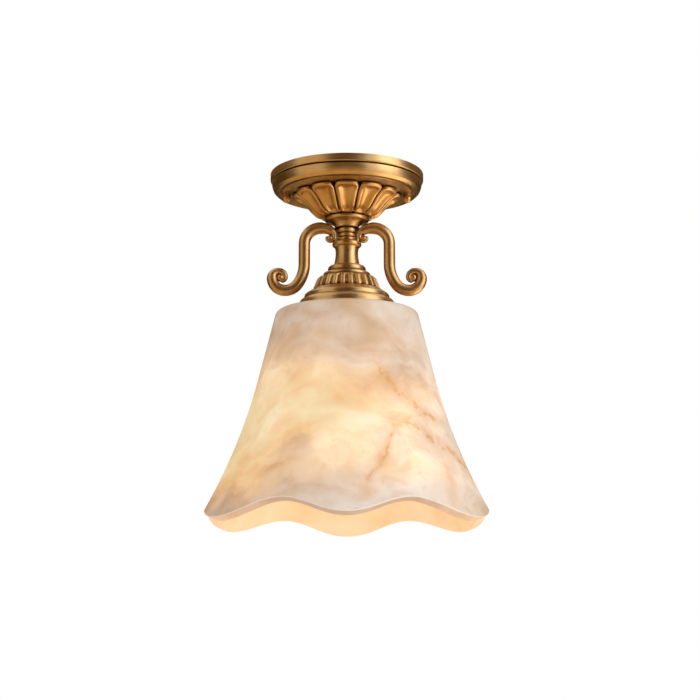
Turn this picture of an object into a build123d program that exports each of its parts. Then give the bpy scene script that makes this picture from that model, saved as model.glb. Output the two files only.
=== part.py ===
"""Alabaster flush mount ceiling light: brass canopy, scrolled stem and a scalloped alabaster bell.

Millimetres. The ceiling is the plane z = 0, the light hangs below it on the Z axis, and the front is -Y.
"""

import os
from math import asin, cos, degrees, pi, radians, sin, sqrt, tan

from build123d import *

# Fits between pieces
fit_gap = 0.1
running_gap = 0.3

# Ceiling bracket, a pressed cross: flat arms along Y, dropped arms along X
bracket_sheet = 2.0
bracket_width = 18.0
bracket_flat_length = 88.0
bracket_end_margin = 5.5
bracket_drop = 4.0
bracket_bend_start = 15.0
bracket_bend_run = 5.0
box_screw_spacing = 69.85
box_screw_slot_width = 4.8
box_screw_slot_length = 14.0
bracket_wire_hole_r = 7.0
earth_screw_r = 1.9
earth_screw_head_r = 3.6
earth_screw_head_height = 2.0
earth_screw_length = 5.0
earth_screw_offset = 13.0

# Canopy plate, spun from sheet
canopy_beyond_studs = 11.95
canopy_wall = 2.0
canopy_band = 5.0
canopy_cove_drop = 4.6
canopy_cove_run = 4.2
canopy_cove_sagitta = 0.8
canopy_lip_band = 2.4
canopy_lip_r = 3.0
canopy_lip_flat = 0.6
canopy_lip_stand = 0.3
canopy_opening_inset = 5.4

# Canopy studs, washers and ball nuts
stud_spacing = 88.9
stud_r = 2.0
stud_head_r = 3.5
stud_head_height = 2.2
stud_grip = 4.2
finial_washer_r = 3.1
finial_washer_thickness = 0.6
finial_ball_r = 3.2
finial_ball_flat = 0.6

# Canopy cup and its petals
petal_count = 12
cup_stud_clearance = 1.15
cup_height = 17.7
cup_foot_r = 17.6
cup_wall = 2.4
cup_floor = 3.0
cup_flange_ledge = 2.4
petal_tip_height = 2.8
petal_tip_angle = 15.0
petal_tip_pull = 1.5
petal_foot_angle = 6.0
petal_foot_pull = 1.2
petal_gap = 1.8
petal_tip_arch = 3.4
petal_relief = 2.0
petal_border = 2.0
petal_hollow = 1.3
cup_screw_count = 4
cup_screw_r = 1.5
cup_screw_head_r = 2.8
cup_screw_head_height = 1.8
cup_screw_depth = 1.8
cup_screw_first = 60

# Threaded tube with its nut and washer
tube_r = 4.0
tube_bore_r = 2.75
tube_stand = 12.0
tube_nut_flats = 14.0
tube_nut_height = 5.0
tube_washer_r = 9.0
tube_washer_thickness = 1.2

# Turned stem, from the cup down
collar_r = 16.4
collar_bead = 3.2
collar_cove_top_r = 13.4
collar_cove_bottom_r = 8.7
collar_cove_height = 4.6
collar_cove_sagitta = 1.0
neck_top_ring_r = 7.1
neck_top_ring_height = 4.0
neck_middle_ring_r = 6.3
neck_middle_ring_height = 3.2
neck_low_ring_r = 6.3
neck_low_ring_height = 3.2
knop_r = 10.7
knop_height = 4.4
column_top_r = 8.9
column_waist_r = 8.2
column_bottom_r = 9.8
column_height = 14.0
column_waist_drop = 4.0
base_bead_r = 13.9
base_bead_height = 5.4
base_ring_r = 17.4
base_ring_height = 3.2

# Gadroon ring: crest radius at each level, as drop below its top
gadroon_count = 24
gadroon_height = 8.2
gadroon_top_r = 18.4
gadroon_shoulder_r = 22.0
gadroon_shoulder_drop = 2.2
gadroon_bottom_r = 23.9
gadroon_depth = 1.3

# Shade fitter, a hollow stepped disc
fitter_top_r = 24.6
fitter_cove_height = 4.6
fitter_cove_sagitta = 0.9
fitter_disc_r = 31.0
fitter_disc_height = 4.1
fitter_step = 1.1
fitter_rim_r = 35.0
fitter_rim_shoulder = 3.6
fitter_rim_height = 7.9
fitter_roof = 3.6

# Scroll arms: a tapering tube on tangent arcs, with the tube's radius at the end of each
arm_neck_gap = 1.9
arm_crest_r = 4.4
arm_shoulder_radius = 11.9
arm_run_length = 15.2
arm_run_r = 4.2
upper_sweep_radius = 13.0
upper_sweep_tube_r = 3.2
upper_curl_radius = 4.0
upper_curl_tube_r = 1.9
upper_coil_radius = 3.5
upper_coil_tube_r = 1.75
upper_tip_radius = 2.0
upper_tip_tube_r = 1.45
lower_sweep_radius = 25.9
lower_bend_radius = 11.5
lower_belly_radius = 9.4
lower_belly_tube_r = 3.9
lower_curl_radius = 5.0
lower_curl_tube_r = 2.5
lower_coil_radius = 4.5
lower_coil_tube_r = 2.1
lower_tip_radius = 2.6
lower_tip_tube_r = 1.8
sweep_turn = 35.0
quarter_turn = 90.0
lower_tip_turn = 70.0
arm_upper_eye_r = 2.1
arm_lower_eye_r = 2.9
arm_lower_eye_outset = 0.9
arm_lower_eye_drop = 0.5
arm_boss_r = 1.6
arm_pin_r = 1.0
arm_pin_seat = 1.4
arm_pin_reach = 3.0

# Alabaster shade
shade_gasket = 1.0
shade_top_r = 51.3
shade_edge_r = 4.5
shade_roof = 8.0
shade_wall = 7.0
shade_slope = 14.1
shade_straight_height = 50.3
shade_flare_radius = 395.0
shade_flare_spare = 2.0
shade_height = 156.0
scallop_count = 6
scallop_rise = 10.6
scallop_tilt = 22.0
scallop_points = 8
rim_cut_margin = 20.0
shade_hole_gap = 1.0

# Lampholder and shade ring
holder_r = 19.5
holder_wall = 2.6
holder_cap_height = 13.0
holder_cap_shoulder_r = 11.5
holder_cap_wall = 2.6
holder_body_height = 40.0
ring_r = 29.0
ring_height = 6.0
ring_flange = 2.6
ring_hub_wall = 3.2
ring_notch_r = 2.5
ring_notch_count = 8
insert_height = 5.0
insert_drop = 2.0
terminal_spacing = 21.0
terminal_r = 1.5
terminal_head_r = 2.8
terminal_head_height = 1.8
shell_r = 13.95
shell_sheet = 0.5
shell_height = 25.0
contact_width = 6.0
contact_sheet = 0.6
contact_reach = 9.0
contact_foot = 3.5
contact_rise = 4.0

# Screw-cap bulb
bulb_cap_r = 13.1
bulb_cap_sheet = 0.5
bulb_cap_height = 23.0
bulb_insulator_r = 9.6
bulb_insulator_height = 3.2
bulb_tip_r = 4.6
bulb_tip_height = 1.0
bulb_globe_r = 30.0
bulb_globe_wall = 1.6
bulb_length = 109.0
bulb_neck_r = 14.5
bulb_neck_height = 4.0
bulb_globe_rim_rise = 13.08
bulb_housing_wall = 2.2
bulb_board_thickness = 1.6

# Sizes that follow from others
stud_x = stud_spacing / 2
stem_bore_r = tube_r + fit_gap
bracket_drop_length = stud_spacing + 2 * bracket_end_margin
canopy_r = stud_x + canopy_beyond_studs
cup_r = stud_x - finial_washer_r - cup_stud_clearance
cup_core_r = cup_r - petal_tip_arch
canopy_opening_r = cup_core_r - canopy_opening_inset
cup_flange_inner_r = canopy_opening_r - cup_flange_ledge
cup_screw_circle_r = (canopy_opening_r + cup_core_r) / 2
neck_rings = [
    (neck_top_ring_r, neck_top_ring_height),
    (neck_middle_ring_r, neck_middle_ring_height),
    (neck_low_ring_r, neck_low_ring_height),
]
neck_height = neck_top_ring_height + neck_middle_ring_height + neck_low_ring_height

# Levels, from the ceiling down
canopy_z = -(canopy_band + canopy_cove_drop + canopy_lip_band + canopy_lip_r - canopy_lip_stand)
plate_top_z = canopy_z + canopy_wall
cup_z = canopy_z - cup_height
collar_z = cup_z - collar_bead - collar_cove_height
neck_z = collar_z - neck_height
knop_z = neck_z - knop_height
column_z = knop_z - column_height
base_z = column_z - base_bead_height - base_ring_height
gadroon_z = base_z - gadroon_height
fitter_z = gadroon_z - fitter_cove_height - fitter_disc_height - fitter_rim_height
shade_z = fitter_z - shade_gasket
roof_z = shade_z - shade_roof
ring_z = roof_z - shade_gasket
cap_top_z = gadroon_z - fitter_roof
holder_z = cap_top_z - holder_cap_height
insert_z = holder_z - insert_drop
shell_z = insert_z - insert_height
contact_z = shell_z - contact_rise
bulb_z = contact_z - contact_sheet
bulb_cap_z = bulb_z - bulb_tip_height - bulb_insulator_height
housing_z = bulb_cap_z - bulb_cap_height
globe_centre_z = bulb_z - bulb_length + bulb_globe_r

# Round pieces either hang below their place or stand on it
hanging = (Align.CENTER, Align.CENTER, Align.MAX)
standing = (Align.CENTER, Align.CENTER, Align.MIN)


def straight_profile(*points):
    """A lathe profile with straight sides, from points given as radius and height."""
    with BuildSketch(Plane.XZ) as profile:
        with BuildLine():
            Polyline(*points, close=True)
        make_face()
    return profile.sketch


def half_round_profile(bore_r, outer_r, top_z, height):
    """A lathe profile for a ring with a half-round edge."""
    flank_r = outer_r - height / 2
    bottom_z = top_z - height
    with BuildSketch(Plane.XZ) as profile:
        with BuildLine():
            Line((bore_r, top_z), (flank_r, top_z))
            ThreePointArc((flank_r, top_z), (outer_r, top_z - height / 2), (flank_r, bottom_z))
            Polyline((flank_r, bottom_z), (bore_r, bottom_z), (bore_r, top_z))
        make_face()
    return profile.sketch


# Ceiling bracket: the flat arms lie on the ceiling and hold the box screws' slots
bracket_low_z = -bracket_drop - bracket_sheet
bend_end = bracket_bend_start + bracket_bend_run
with BuildPart() as ceiling_bracket:
    with BuildSketch():
        Rectangle(bracket_width, bracket_flat_length)
        with Locations((0, box_screw_spacing / 2), (0, -box_screw_spacing / 2)):
            SlotOverall(box_screw_slot_length, box_screw_slot_width, rotation=90, mode=Mode.SUBTRACT)
        Circle(bracket_wire_hole_r, mode=Mode.SUBTRACT)
        with Locations((0, -earth_screw_offset)):
            Circle(earth_screw_r + fit_gap, mode=Mode.SUBTRACT)
    extrude(amount=-bracket_sheet)
    with BuildSketch(Plane.XZ):
        with BuildLine():
            Polyline(
                (bracket_width / 2, 0),
                (bracket_bend_start, 0),
                (bend_end, -bracket_drop),
                (bracket_drop_length / 2, -bracket_drop),
                (bracket_drop_length / 2, bracket_low_z),
                (bend_end, bracket_low_z),
                (bracket_bend_start, -bracket_sheet),
                (bracket_width / 2, -bracket_sheet),
                close=True,
            )
        make_face()
        mirror(about=Plane.YZ)
    extrude(amount=bracket_width / 2, both=True)
    with Locations((stud_x, 0, -bracket_drop), (-stud_x, 0, -bracket_drop)):
        Hole(stud_r + fit_gap, depth=bracket_sheet)

with BuildPart() as earth_screw:
    with Locations((0, -earth_screw_offset, -bracket_sheet)):
        Cylinder(earth_screw_head_r, earth_screw_head_height, align=hanging)
    with Locations((0, -earth_screw_offset, -earth_screw_length)):
        Cylinder(earth_screw_r, earth_screw_length, align=standing)

stud_end_z = canopy_z - finial_washer_thickness - stud_grip
with BuildPart() as canopy_studs:
    with Locations((stud_x, 0, -bracket_drop), (-stud_x, 0, -bracket_drop)):
        Cylinder(stud_head_r, stud_head_height, align=standing)
        Cylinder(stud_r, -bracket_drop - stud_end_z, align=hanging)

# Canopy plate: a plain band, a cove and a rolled lip, all of one sheet
cove_top_z = -canopy_band
cove_end = (canopy_r - canopy_cove_run, cove_top_z - canopy_cove_drop)
lip_r = cove_end[0]
lip_top_z = cove_end[1] - canopy_lip_band
lip_bottom_z = lip_top_z - canopy_lip_r
lip_inner_r = lip_r - canopy_lip_r - canopy_lip_flat
lip_bend = canopy_lip_r * (1 - cos(pi / 4))
canopy_inner_r = canopy_r - canopy_wall * 1.2
pan_r = lip_r - canopy_wall * 1.2
with BuildPart() as canopy_plate:
    with BuildSketch(Plane.XZ):
        with BuildLine():
            Line((canopy_r, 0), (canopy_r, cove_top_z))
            SagittaArc((canopy_r, cove_top_z), cove_end, -canopy_cove_sagitta)
            Line(cove_end, (lip_r, lip_top_z))
            ThreePointArc(
                (lip_r, lip_top_z),
                (lip_r - lip_bend, lip_bottom_z + lip_bend),
                (lip_r - canopy_lip_r, lip_bottom_z),
            )
            Polyline(
                (lip_r - canopy_lip_r, lip_bottom_z),
                (lip_inner_r, lip_bottom_z),
                (lip_inner_r, canopy_z),
                (canopy_opening_r, canopy_z),
                (canopy_opening_r, plate_top_z),
                (pan_r, plate_top_z),
                (pan_r, cove_end[1]),
                (canopy_inner_r, cove_top_z),
                (canopy_inner_r, 0),
                (canopy_r, 0),
            )
        make_face()
    revolve(axis=Axis.Z)
    with Locations((stud_x, 0, plate_top_z), (-stud_x, 0, plate_top_z)):
        Hole(stud_r + fit_gap, depth=canopy_wall)
    with BuildSketch(Plane.XY.offset(plate_top_z)):
        with PolarLocations(cup_screw_circle_r, cup_screw_count, start_angle=cup_screw_first):
            Circle(cup_screw_r + fit_gap)
    extrude(amount=-canopy_wall, mode=Mode.SUBTRACT)


def ogee(outer_r, rise):
    """The petals' S-shaped face, raised by rise, from outer_r in to the cup's foot."""
    whole = Spline(
        (cup_r, canopy_z - petal_tip_height + rise),
        (cup_foot_r, cup_z + rise),
        tangents=[
            (-cos(radians(petal_tip_angle)), -sin(radians(petal_tip_angle))),
            (-cos(radians(petal_foot_angle)), -sin(radians(petal_foot_angle))),
        ],
        tangent_scalars=[petal_tip_pull, petal_foot_pull],
        mode=Mode.PRIVATE,
    )
    start, end = 0.0, 1.0
    while end - start > 1e-9:
        middle = (start + end) / 2
        if (whole @ middle).X > outer_r:
            start = middle
        else:
            end = middle
    return add(whole.trim(start, 1)).edge()


def petal_outline(inset):
    """One petal seen from below, along +X: straight flanks that meet an arched tip."""
    half_angle = tan(pi / petal_count)
    side = petal_gap / 2 + inset
    tip_r = cup_r - inset
    corner_r = cup_r - petal_tip_arch - inset / 2
    foot_r = cup_foot_r - 1 + inset
    corner_y = corner_r * half_angle - side
    foot_y = foot_r * half_angle - side
    with BuildSketch() as outline:
        with BuildLine():
            Polyline((corner_r, corner_y), (foot_r, foot_y), (foot_r, -foot_y), (corner_r, -corner_y))
            ThreePointArc((corner_r, -corner_y), (tip_r, 0), (corner_r, corner_y))
        make_face()
    return outline.sketch


def petal_band(lower_rise, upper_rise):
    """A lathe profile for the band between two copies of the petals' face."""
    with BuildSketch(Plane.XZ) as profile:
        with BuildLine():
            low = ogee(cup_r, lower_rise)
            high = ogee(cup_r, upper_rise)
            Line(low @ 1, high @ 1)
            Line(low @ 0, high @ 0)
        make_face()
    return profile.sketch


# Canopy cup: twelve bordered, hollowed petals on a bowl, the piece that takes the most skill
first_petal = -90
petal = petal_outline(0)
petal_panel = petal_outline(petal_border)
with BuildPart() as petal_hollows:
    with BuildSketch(Plane.XY.offset(cup_z)):
        with PolarLocations(0, petal_count, start_angle=first_petal):
            add(petal_panel)
    extrude(amount=cup_height)
    revolve(petal_band(-petal_relief, petal_hollow), axis=Axis.Z, mode=Mode.INTERSECT)

with BuildPart() as canopy_cup:
    with BuildSketch(Plane.XY.offset(cup_z)):
        with PolarLocations(0, petal_count, start_angle=first_petal):
            add(petal)
    extrude(amount=cup_height)
    revolve(petal_band(0, petal_tip_height), axis=Axis.Z, mode=Mode.INTERSECT)
    add(petal_hollows.part, mode=Mode.SUBTRACT)
    with BuildSketch(Plane.XZ):
        with BuildLine():
            face = ogee(cup_core_r, petal_relief)
            inside = ogee(cup_flange_inner_r, petal_relief + cup_wall)
            Polyline(inside @ 0, (cup_flange_inner_r, canopy_z), (cup_core_r, canopy_z), face @ 0)
            Polyline(face @ 1, (cup_foot_r, cup_z), (stem_bore_r, cup_z), (stem_bore_r, cup_z + cup_floor))
            Line((stem_bore_r, cup_z + cup_floor), (cup_foot_r, cup_z + cup_floor))
            Line((cup_foot_r, cup_z + cup_floor), inside @ 1)
        make_face()
    revolve(axis=Axis.Z)
    with BuildSketch(Plane.XY.offset(canopy_z)):
        with PolarLocations(cup_screw_circle_r, cup_screw_count, start_angle=cup_screw_first):
            Circle(cup_screw_r + fit_gap)
    extrude(amount=-cup_screw_depth - fit_gap, mode=Mode.SUBTRACT)

with BuildPart() as cup_screws:
    with PolarLocations(cup_screw_circle_r, cup_screw_count, start_angle=cup_screw_first):
        with Locations((0, 0, plate_top_z)):
            Cylinder(cup_screw_head_r, cup_screw_head_height, align=standing)
            Cylinder(cup_screw_r, canopy_wall + cup_screw_depth, align=hanging)

# Finials: a ball nut and a washer on each stud
ball_z = canopy_z - finial_washer_thickness - (finial_ball_r - finial_ball_flat)


def finial_washer(x):
    with BuildPart() as washer:
        with BuildSketch(Plane.XY.offset(canopy_z)):
            with Locations((x, 0)):
                Circle(finial_washer_r)
                Circle(stud_r + fit_gap, mode=Mode.SUBTRACT)
        extrude(amount=-finial_washer_thickness)
    return washer


def finial_nut(x):
    with BuildPart() as nut:
        with Locations((x, 0, ball_z)):
            Sphere(finial_ball_r)
        split(bisect_by=Plane.XY.offset(canopy_z - finial_washer_thickness), keep=Keep.BOTTOM)
        with Locations((x, 0, canopy_z - finial_washer_thickness)):
            Hole(stud_r + fit_gap, depth=stud_grip + fit_gap)
    return nut


finial_washer_left = finial_washer(-stud_x)
finial_washer_right = finial_washer(stud_x)
finial_nut_left = finial_nut(-stud_x)
finial_nut_right = finial_nut(stud_x)

# Threaded tube: hangs the stem from the cup's floor and carries the lampholder
cup_floor_z = cup_z + cup_floor
tube_top_z = cup_floor_z + tube_stand
tube_bottom_z = cap_top_z - holder_cap_wall * 2
with BuildPart() as threaded_tube:
    with BuildSketch(Plane.XY.offset(tube_bottom_z)):
        Circle(tube_r)
        Circle(tube_bore_r, mode=Mode.SUBTRACT)
    extrude(amount=tube_top_z - tube_bottom_z)

with BuildPart() as tube_washer:
    with BuildSketch(Plane.XY.offset(cup_floor_z)):
        Circle(tube_washer_r)
        Circle(stem_bore_r, mode=Mode.SUBTRACT)
    extrude(amount=tube_washer_thickness)

with BuildPart() as tube_nut:
    with BuildSketch(Plane.XY.offset(cup_floor_z + tube_washer_thickness)):
        RegularPolygon(tube_nut_flats / 2, 6, major_radius=False)
        Circle(stem_bore_r, mode=Mode.SUBTRACT)
    extrude(amount=tube_nut_height)

# Stem collar: a half-round ring that closes the cup, with a coved cup below it
with BuildPart() as stem_collar:
    revolve(half_round_profile(stem_bore_r, collar_r, cup_z, collar_bead), axis=Axis.Z)
    cove_z = cup_z - collar_bead
    with BuildSketch(Plane.XZ):
        with BuildLine():
            SagittaArc((collar_cove_top_r, cove_z), (collar_cove_bottom_r, collar_z), -collar_cove_sagitta)
            Polyline(
                (collar_cove_bottom_r, collar_z),
                (stem_bore_r, collar_z),
                (stem_bore_r, cove_z),
                (collar_cove_top_r, cove_z),
            )
        make_face()
    revolve(axis=Axis.Z)

# Stem neck: three rings, turned as one piece, drilled on both sides for the scrolls' pins
pin_z = collar_z - neck_top_ring_height - neck_middle_ring_height / 2
pin_seat_x = neck_middle_ring_r - arm_pin_seat
with BuildPart() as stem_neck:
    ring_top_z = collar_z
    for neck_ring_r, neck_ring_height in neck_rings:
        revolve(half_round_profile(stem_bore_r, neck_ring_r, ring_top_z, neck_ring_height), axis=Axis.Z)
        ring_top_z -= neck_ring_height
    for side in (1, -1):
        with BuildSketch(Plane.YZ.offset(side * pin_seat_x)):
            with Locations((0, pin_z)):
                Circle(arm_pin_r + fit_gap)
        extrude(amount=side * neck_middle_ring_r, mode=Mode.SUBTRACT)

with BuildPart() as stem_knop:
    revolve(half_round_profile(stem_bore_r, knop_r, neck_z, knop_height), axis=Axis.Z)

# Stem column: a waisted shaft
with BuildPart() as stem_column:
    with BuildSketch(Plane.XZ):
        with BuildLine():
            Spline(
                (column_top_r, knop_z),
                (column_waist_r, knop_z - column_waist_drop),
                (column_bottom_r, column_z),
            )
            Polyline(
                (column_bottom_r, column_z),
                (stem_bore_r, column_z),
                (stem_bore_r, knop_z),
                (column_top_r, knop_z),
            )
        make_face()
    revolve(axis=Axis.Z)

with BuildPart() as stem_base:
    revolve(half_round_profile(stem_bore_r, base_bead_r, column_z, base_bead_height), axis=Axis.Z)
    base_ring_z = column_z - base_bead_height
    revolve(half_round_profile(stem_bore_r, base_ring_r, base_ring_z, base_ring_height), axis=Axis.Z)


def gadroon_outline(crest_r):
    """A wreath of convex lobes, with their crests on crest_r."""
    valley_r = crest_r - gadroon_depth
    pitch = 2 * pi / gadroon_count
    with BuildLine() as wreath:
        for lobe in range(gadroon_count):
            angles = [(lobe + step) * pitch for step in (-0.5, 0, 0.5)]
            radii = [valley_r, crest_r, valley_r]
            ThreePointArc(*[(r * cos(a), r * sin(a)) for r, a in zip(radii, angles)])
    return wreath.wire()


# Gadroon ring: a flared band whose lobes run from the thin ring out to the fitter
gadroon_levels = [
    (0, gadroon_top_r),
    (gadroon_shoulder_drop, gadroon_shoulder_r),
    (gadroon_height, gadroon_bottom_r),
]
with BuildPart() as gadroon_ring:
    for drop, crest_r in gadroon_levels:
        with BuildSketch(Plane.XY.offset(base_z - drop)):
            make_face(gadroon_outline(crest_r).edges())
    loft(ruled=True)
    with Locations((0, 0, base_z)):
        Hole(stem_bore_r, depth=gadroon_height)

# Shade fitter: cove, upper disc and rim, hollow below for the lampholder's cap
disc_top_z = gadroon_z - fitter_cove_height
rim_top_z = disc_top_z - fitter_disc_height
fitter_cavity_r = holder_r + shade_hole_gap
with BuildPart() as shade_fitter:
    with BuildSketch(Plane.XZ):
        with BuildLine():
            cove = SagittaArc(
                (fitter_top_r, gadroon_z),
                (fitter_disc_r - fitter_step, disc_top_z),
                fitter_cove_sagitta,
            )
            Line(cove @ 1, (fitter_disc_r, disc_top_z - fitter_step))
            Polyline(
                (fitter_disc_r, disc_top_z - fitter_step),
                (fitter_disc_r, rim_top_z),
                (fitter_disc_r + fitter_step, rim_top_z),
            )
            ThreePointArc(
                (fitter_disc_r + fitter_step, rim_top_z),
                (fitter_rim_r - fitter_step / 2, rim_top_z - fitter_rim_shoulder / 2),
                (fitter_rim_r, rim_top_z - fitter_rim_shoulder),
            )
            Polyline(
                (fitter_rim_r, rim_top_z - fitter_rim_shoulder),
                (fitter_rim_r, fitter_z),
                (fitter_cavity_r, fitter_z),
                (fitter_cavity_r, cap_top_z),
                (stem_bore_r, cap_top_z),
                (stem_bore_r, gadroon_z),
                (fitter_top_r, gadroon_z),
            )
        make_face()
    revolve(axis=Axis.Z)


# Scroll arms: tangent arcs from the crest, in to the upper volute and out to the lower one
sweep_sin = sin(radians(sweep_turn))
sweep_cos = cos(radians(sweep_turn))
crest_reach = upper_sweep_radius * sweep_sin + upper_curl_radius * (1 - sweep_sin)
crest_rise = upper_sweep_radius * (1 - sweep_cos) + upper_curl_radius * sweep_cos
curl_x = neck_middle_ring_r + arm_neck_gap + upper_curl_tube_r
crest = (curl_x + crest_reach, pin_z + crest_rise)
upper_arcs = [
    (upper_sweep_radius, sweep_turn, upper_sweep_tube_r),
    (upper_curl_radius, quarter_turn - sweep_turn, upper_curl_tube_r),
    (upper_coil_radius, quarter_turn, upper_coil_tube_r),
    (upper_tip_radius, quarter_turn, upper_tip_tube_r),
]
lower_arcs = [
    (lower_sweep_radius, sweep_turn, arm_run_r),
    (lower_bend_radius, quarter_turn - sweep_turn, arm_run_r),
    (lower_belly_radius, quarter_turn, lower_belly_tube_r),
    (lower_curl_radius, quarter_turn, lower_curl_tube_r),
    (lower_coil_radius, quarter_turn, lower_coil_tube_r),
    (lower_tip_radius, lower_tip_turn, lower_tip_tube_r),
]


def chain(start, tangent, arcs):
    """Tangent arcs that all turn the same way, each with the tube radius at its end."""
    links = []
    for radius, turn, tube in arcs:
        with BuildLine():
            arc = JernArc(start, tangent, radius, turn)
        links.append((arc, tube))
        start = arc @ 1
        tangent = arc % 1
    return links


def tube_sections(links, tube):
    """Planes and radii for a tapering tube along the links, which lie in the plane y = 0."""
    sections = []
    for link, end_tube in links:
        steps = max(2, round(link.length / max(tube, end_tube)))
        for step in range(1, steps + 1):
            spot = link @ (step / steps)
            heading = link % (step / steps)
            cut = Plane((spot.X, 0, spot.Y), x_dir=(0, 1, 0), z_dir=(heading.X, 0, heading.Y))
            sections.append((cut, tube + (end_tube - tube) * step / steps))
        tube = end_tube
    return sections


with BuildLine():
    shoulder = JernArc(crest, (1, 0), arm_shoulder_radius, -90)
    run = Line(shoulder @ 1, shoulder @ 1 - (0, arm_run_length))
upper_links = chain(crest, (-1, 0), upper_arcs)
lower_links = chain(run @ 1, (0, -1), lower_arcs)
upper_eye = upper_links[-1][0].arc_center
lower_eye = lower_links[-1][0].arc_center
crest_plane = Plane((crest[0], 0, crest[1]), x_dir=(0, 1, 0), z_dir=(1, 0, 0))
inward = tube_sections(upper_links, arm_crest_r)
outward = tube_sections([(shoulder, arm_run_r), (run, arm_run_r)] + lower_links, arm_crest_r)
reversed_inward = [(Plane(cut.origin, cut.x_dir, -cut.z_dir), tube) for cut, tube in reversed(inward)]
with BuildPart() as scroll_arm_right:
    for cut, tube in reversed_inward + [(crest_plane, arm_crest_r)] + outward:
        with BuildSketch(cut):
            Circle(tube)
    loft()
    for cut, tube in (inward[-1], outward[-1]):
        with Locations(cut.origin):
            Sphere(tube)
    with Locations((upper_eye.X, 0, upper_eye.Y)):
        Sphere(arm_upper_eye_r)
    with Locations((lower_eye.X + arm_lower_eye_outset, 0, lower_eye.Y - arm_lower_eye_drop)):
        Sphere(arm_lower_eye_r)
    with BuildSketch(Plane.YZ.offset(neck_middle_ring_r + fit_gap)):
        with Locations((0, pin_z)):
            Circle(arm_boss_r)
    extrude(amount=arm_neck_gap + upper_curl_tube_r)
    with BuildSketch(Plane.YZ.offset(neck_middle_ring_r)):
        with Locations((0, pin_z)):
            Circle(arm_pin_r + fit_gap)
    extrude(amount=arm_neck_gap + arm_pin_reach + fit_gap, mode=Mode.SUBTRACT)

with BuildPart() as scroll_arm_left:
    mirror(scroll_arm_right.part, about=Plane.YZ)

with BuildPart() as arm_pins:
    for side in (1, -1):
        with BuildSketch(Plane.YZ.offset(side * pin_seat_x)):
            with Locations((0, pin_z)):
                Circle(arm_pin_r)
        extrude(amount=side * (arm_pin_seat + arm_neck_gap + arm_pin_reach))

# Alabaster shade: a straight upper wall, a flaring skirt and a rim cut in scallops
shade_hole_r = holder_r + shade_hole_gap
wall_down = Vector(sin(radians(shade_slope)), -cos(radians(shade_slope)))
wall_out = Vector(cos(radians(shade_slope)), sin(radians(shade_slope)))
straight_length = shade_straight_height / cos(radians(shade_slope))
outer_top = Vector(shade_top_r, shade_z)
outer_waist = outer_top + wall_down * straight_length
inner_waist = outer_waist - wall_out * shade_wall
inner_top = inner_waist - wall_down * ((roof_z - inner_waist.Y) / cos(radians(shade_slope)))
flare_centre = outer_waist + wall_out * shade_flare_radius
inner_flare_radius = shade_flare_radius + shade_wall
rim_low_z = shade_z - shade_height
low_angle = asin((flare_centre.Y - rim_low_z) / inner_flare_radius)
rim_r = flare_centre.X - inner_flare_radius * cos(low_angle)
flare_turn = degrees(low_angle) - shade_slope + shade_flare_spare


def rim_wave(radius):
    """The scalloped cut at one radius: a closed wave round the axis, low at the front."""
    points = []
    count = scallop_count * scallop_points
    for step in range(count):
        angle = 2 * pi * step / count - pi / 2
        rise = scallop_rise / 2 * (1 - cos(2 * pi * step / scallop_points))
        height = rim_low_z + rise + (radius - rim_r) * tan(radians(scallop_tilt))
        points.append((radius * cos(angle), radius * sin(angle), height))
    with BuildLine():
        wave = Spline(*points, periodic=True)
    return wave


rim_cut = Face.make_surface_from_curves(
    rim_wave(rim_r - shade_wall - rim_cut_margin),
    rim_wave(rim_r + shade_wall + rim_cut_margin),
)
with BuildPart() as alabaster_shade:
    with BuildSketch(Plane.XZ):
        with BuildLine():
            outer_flare = JernArc(outer_waist, wall_down, shade_flare_radius, flare_turn)
            inner_flare = JernArc(inner_waist, wall_down, inner_flare_radius, flare_turn)
            Line(outer_flare @ 1, inner_flare @ 1)
            Line(inner_waist, inner_top)
            Polyline(inner_top, (shade_hole_r, roof_z), (shade_hole_r, shade_z), outer_top)
            Line(outer_top, outer_waist)
        make_face()
    revolve(axis=Axis.Z)
    top_edges = alabaster_shade.edges().filter_by(GeomType.CIRCLE).group_by(Axis.Z)[-1]
    fillet(top_edges.sort_by(SortBy.RADIUS)[-1], shade_edge_r)
    extrude(rim_cut, amount=shade_height, dir=(0, 0, -1), mode=Mode.SUBTRACT)

# Gaskets keep the stone off the brass and off the clamping ring
with BuildPart() as upper_gasket:
    with BuildSketch(Plane.XY.offset(shade_z)):
        Circle(fitter_rim_r - fitter_step)
        Circle(shade_hole_r, mode=Mode.SUBTRACT)
    extrude(amount=shade_gasket)

with BuildPart() as lower_gasket:
    with BuildSketch(Plane.XY.offset(roof_z)):
        Circle(ring_r)
        Circle(shade_hole_r, mode=Mode.SUBTRACT)
    extrude(amount=-shade_gasket)

# Shade ring: a flanged nut on the lampholder's outer thread, with finger notches
ring_bore_r = holder_r + running_gap
ring_hub_r = ring_bore_r + ring_hub_wall
with BuildPart() as shade_ring:
    with BuildSketch(Plane.XY.offset(ring_z)):
        Circle(ring_r)
        Circle(ring_bore_r, mode=Mode.SUBTRACT)
        with PolarLocations(ring_r + ring_notch_r / 2, ring_notch_count):
            Circle(ring_notch_r, mode=Mode.SUBTRACT)
    extrude(amount=-ring_flange)
    with BuildSketch(Plane.XY.offset(ring_z)):
        Circle(ring_hub_r)
        Circle(ring_bore_r, mode=Mode.SUBTRACT)
    extrude(amount=-ring_height)

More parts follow.
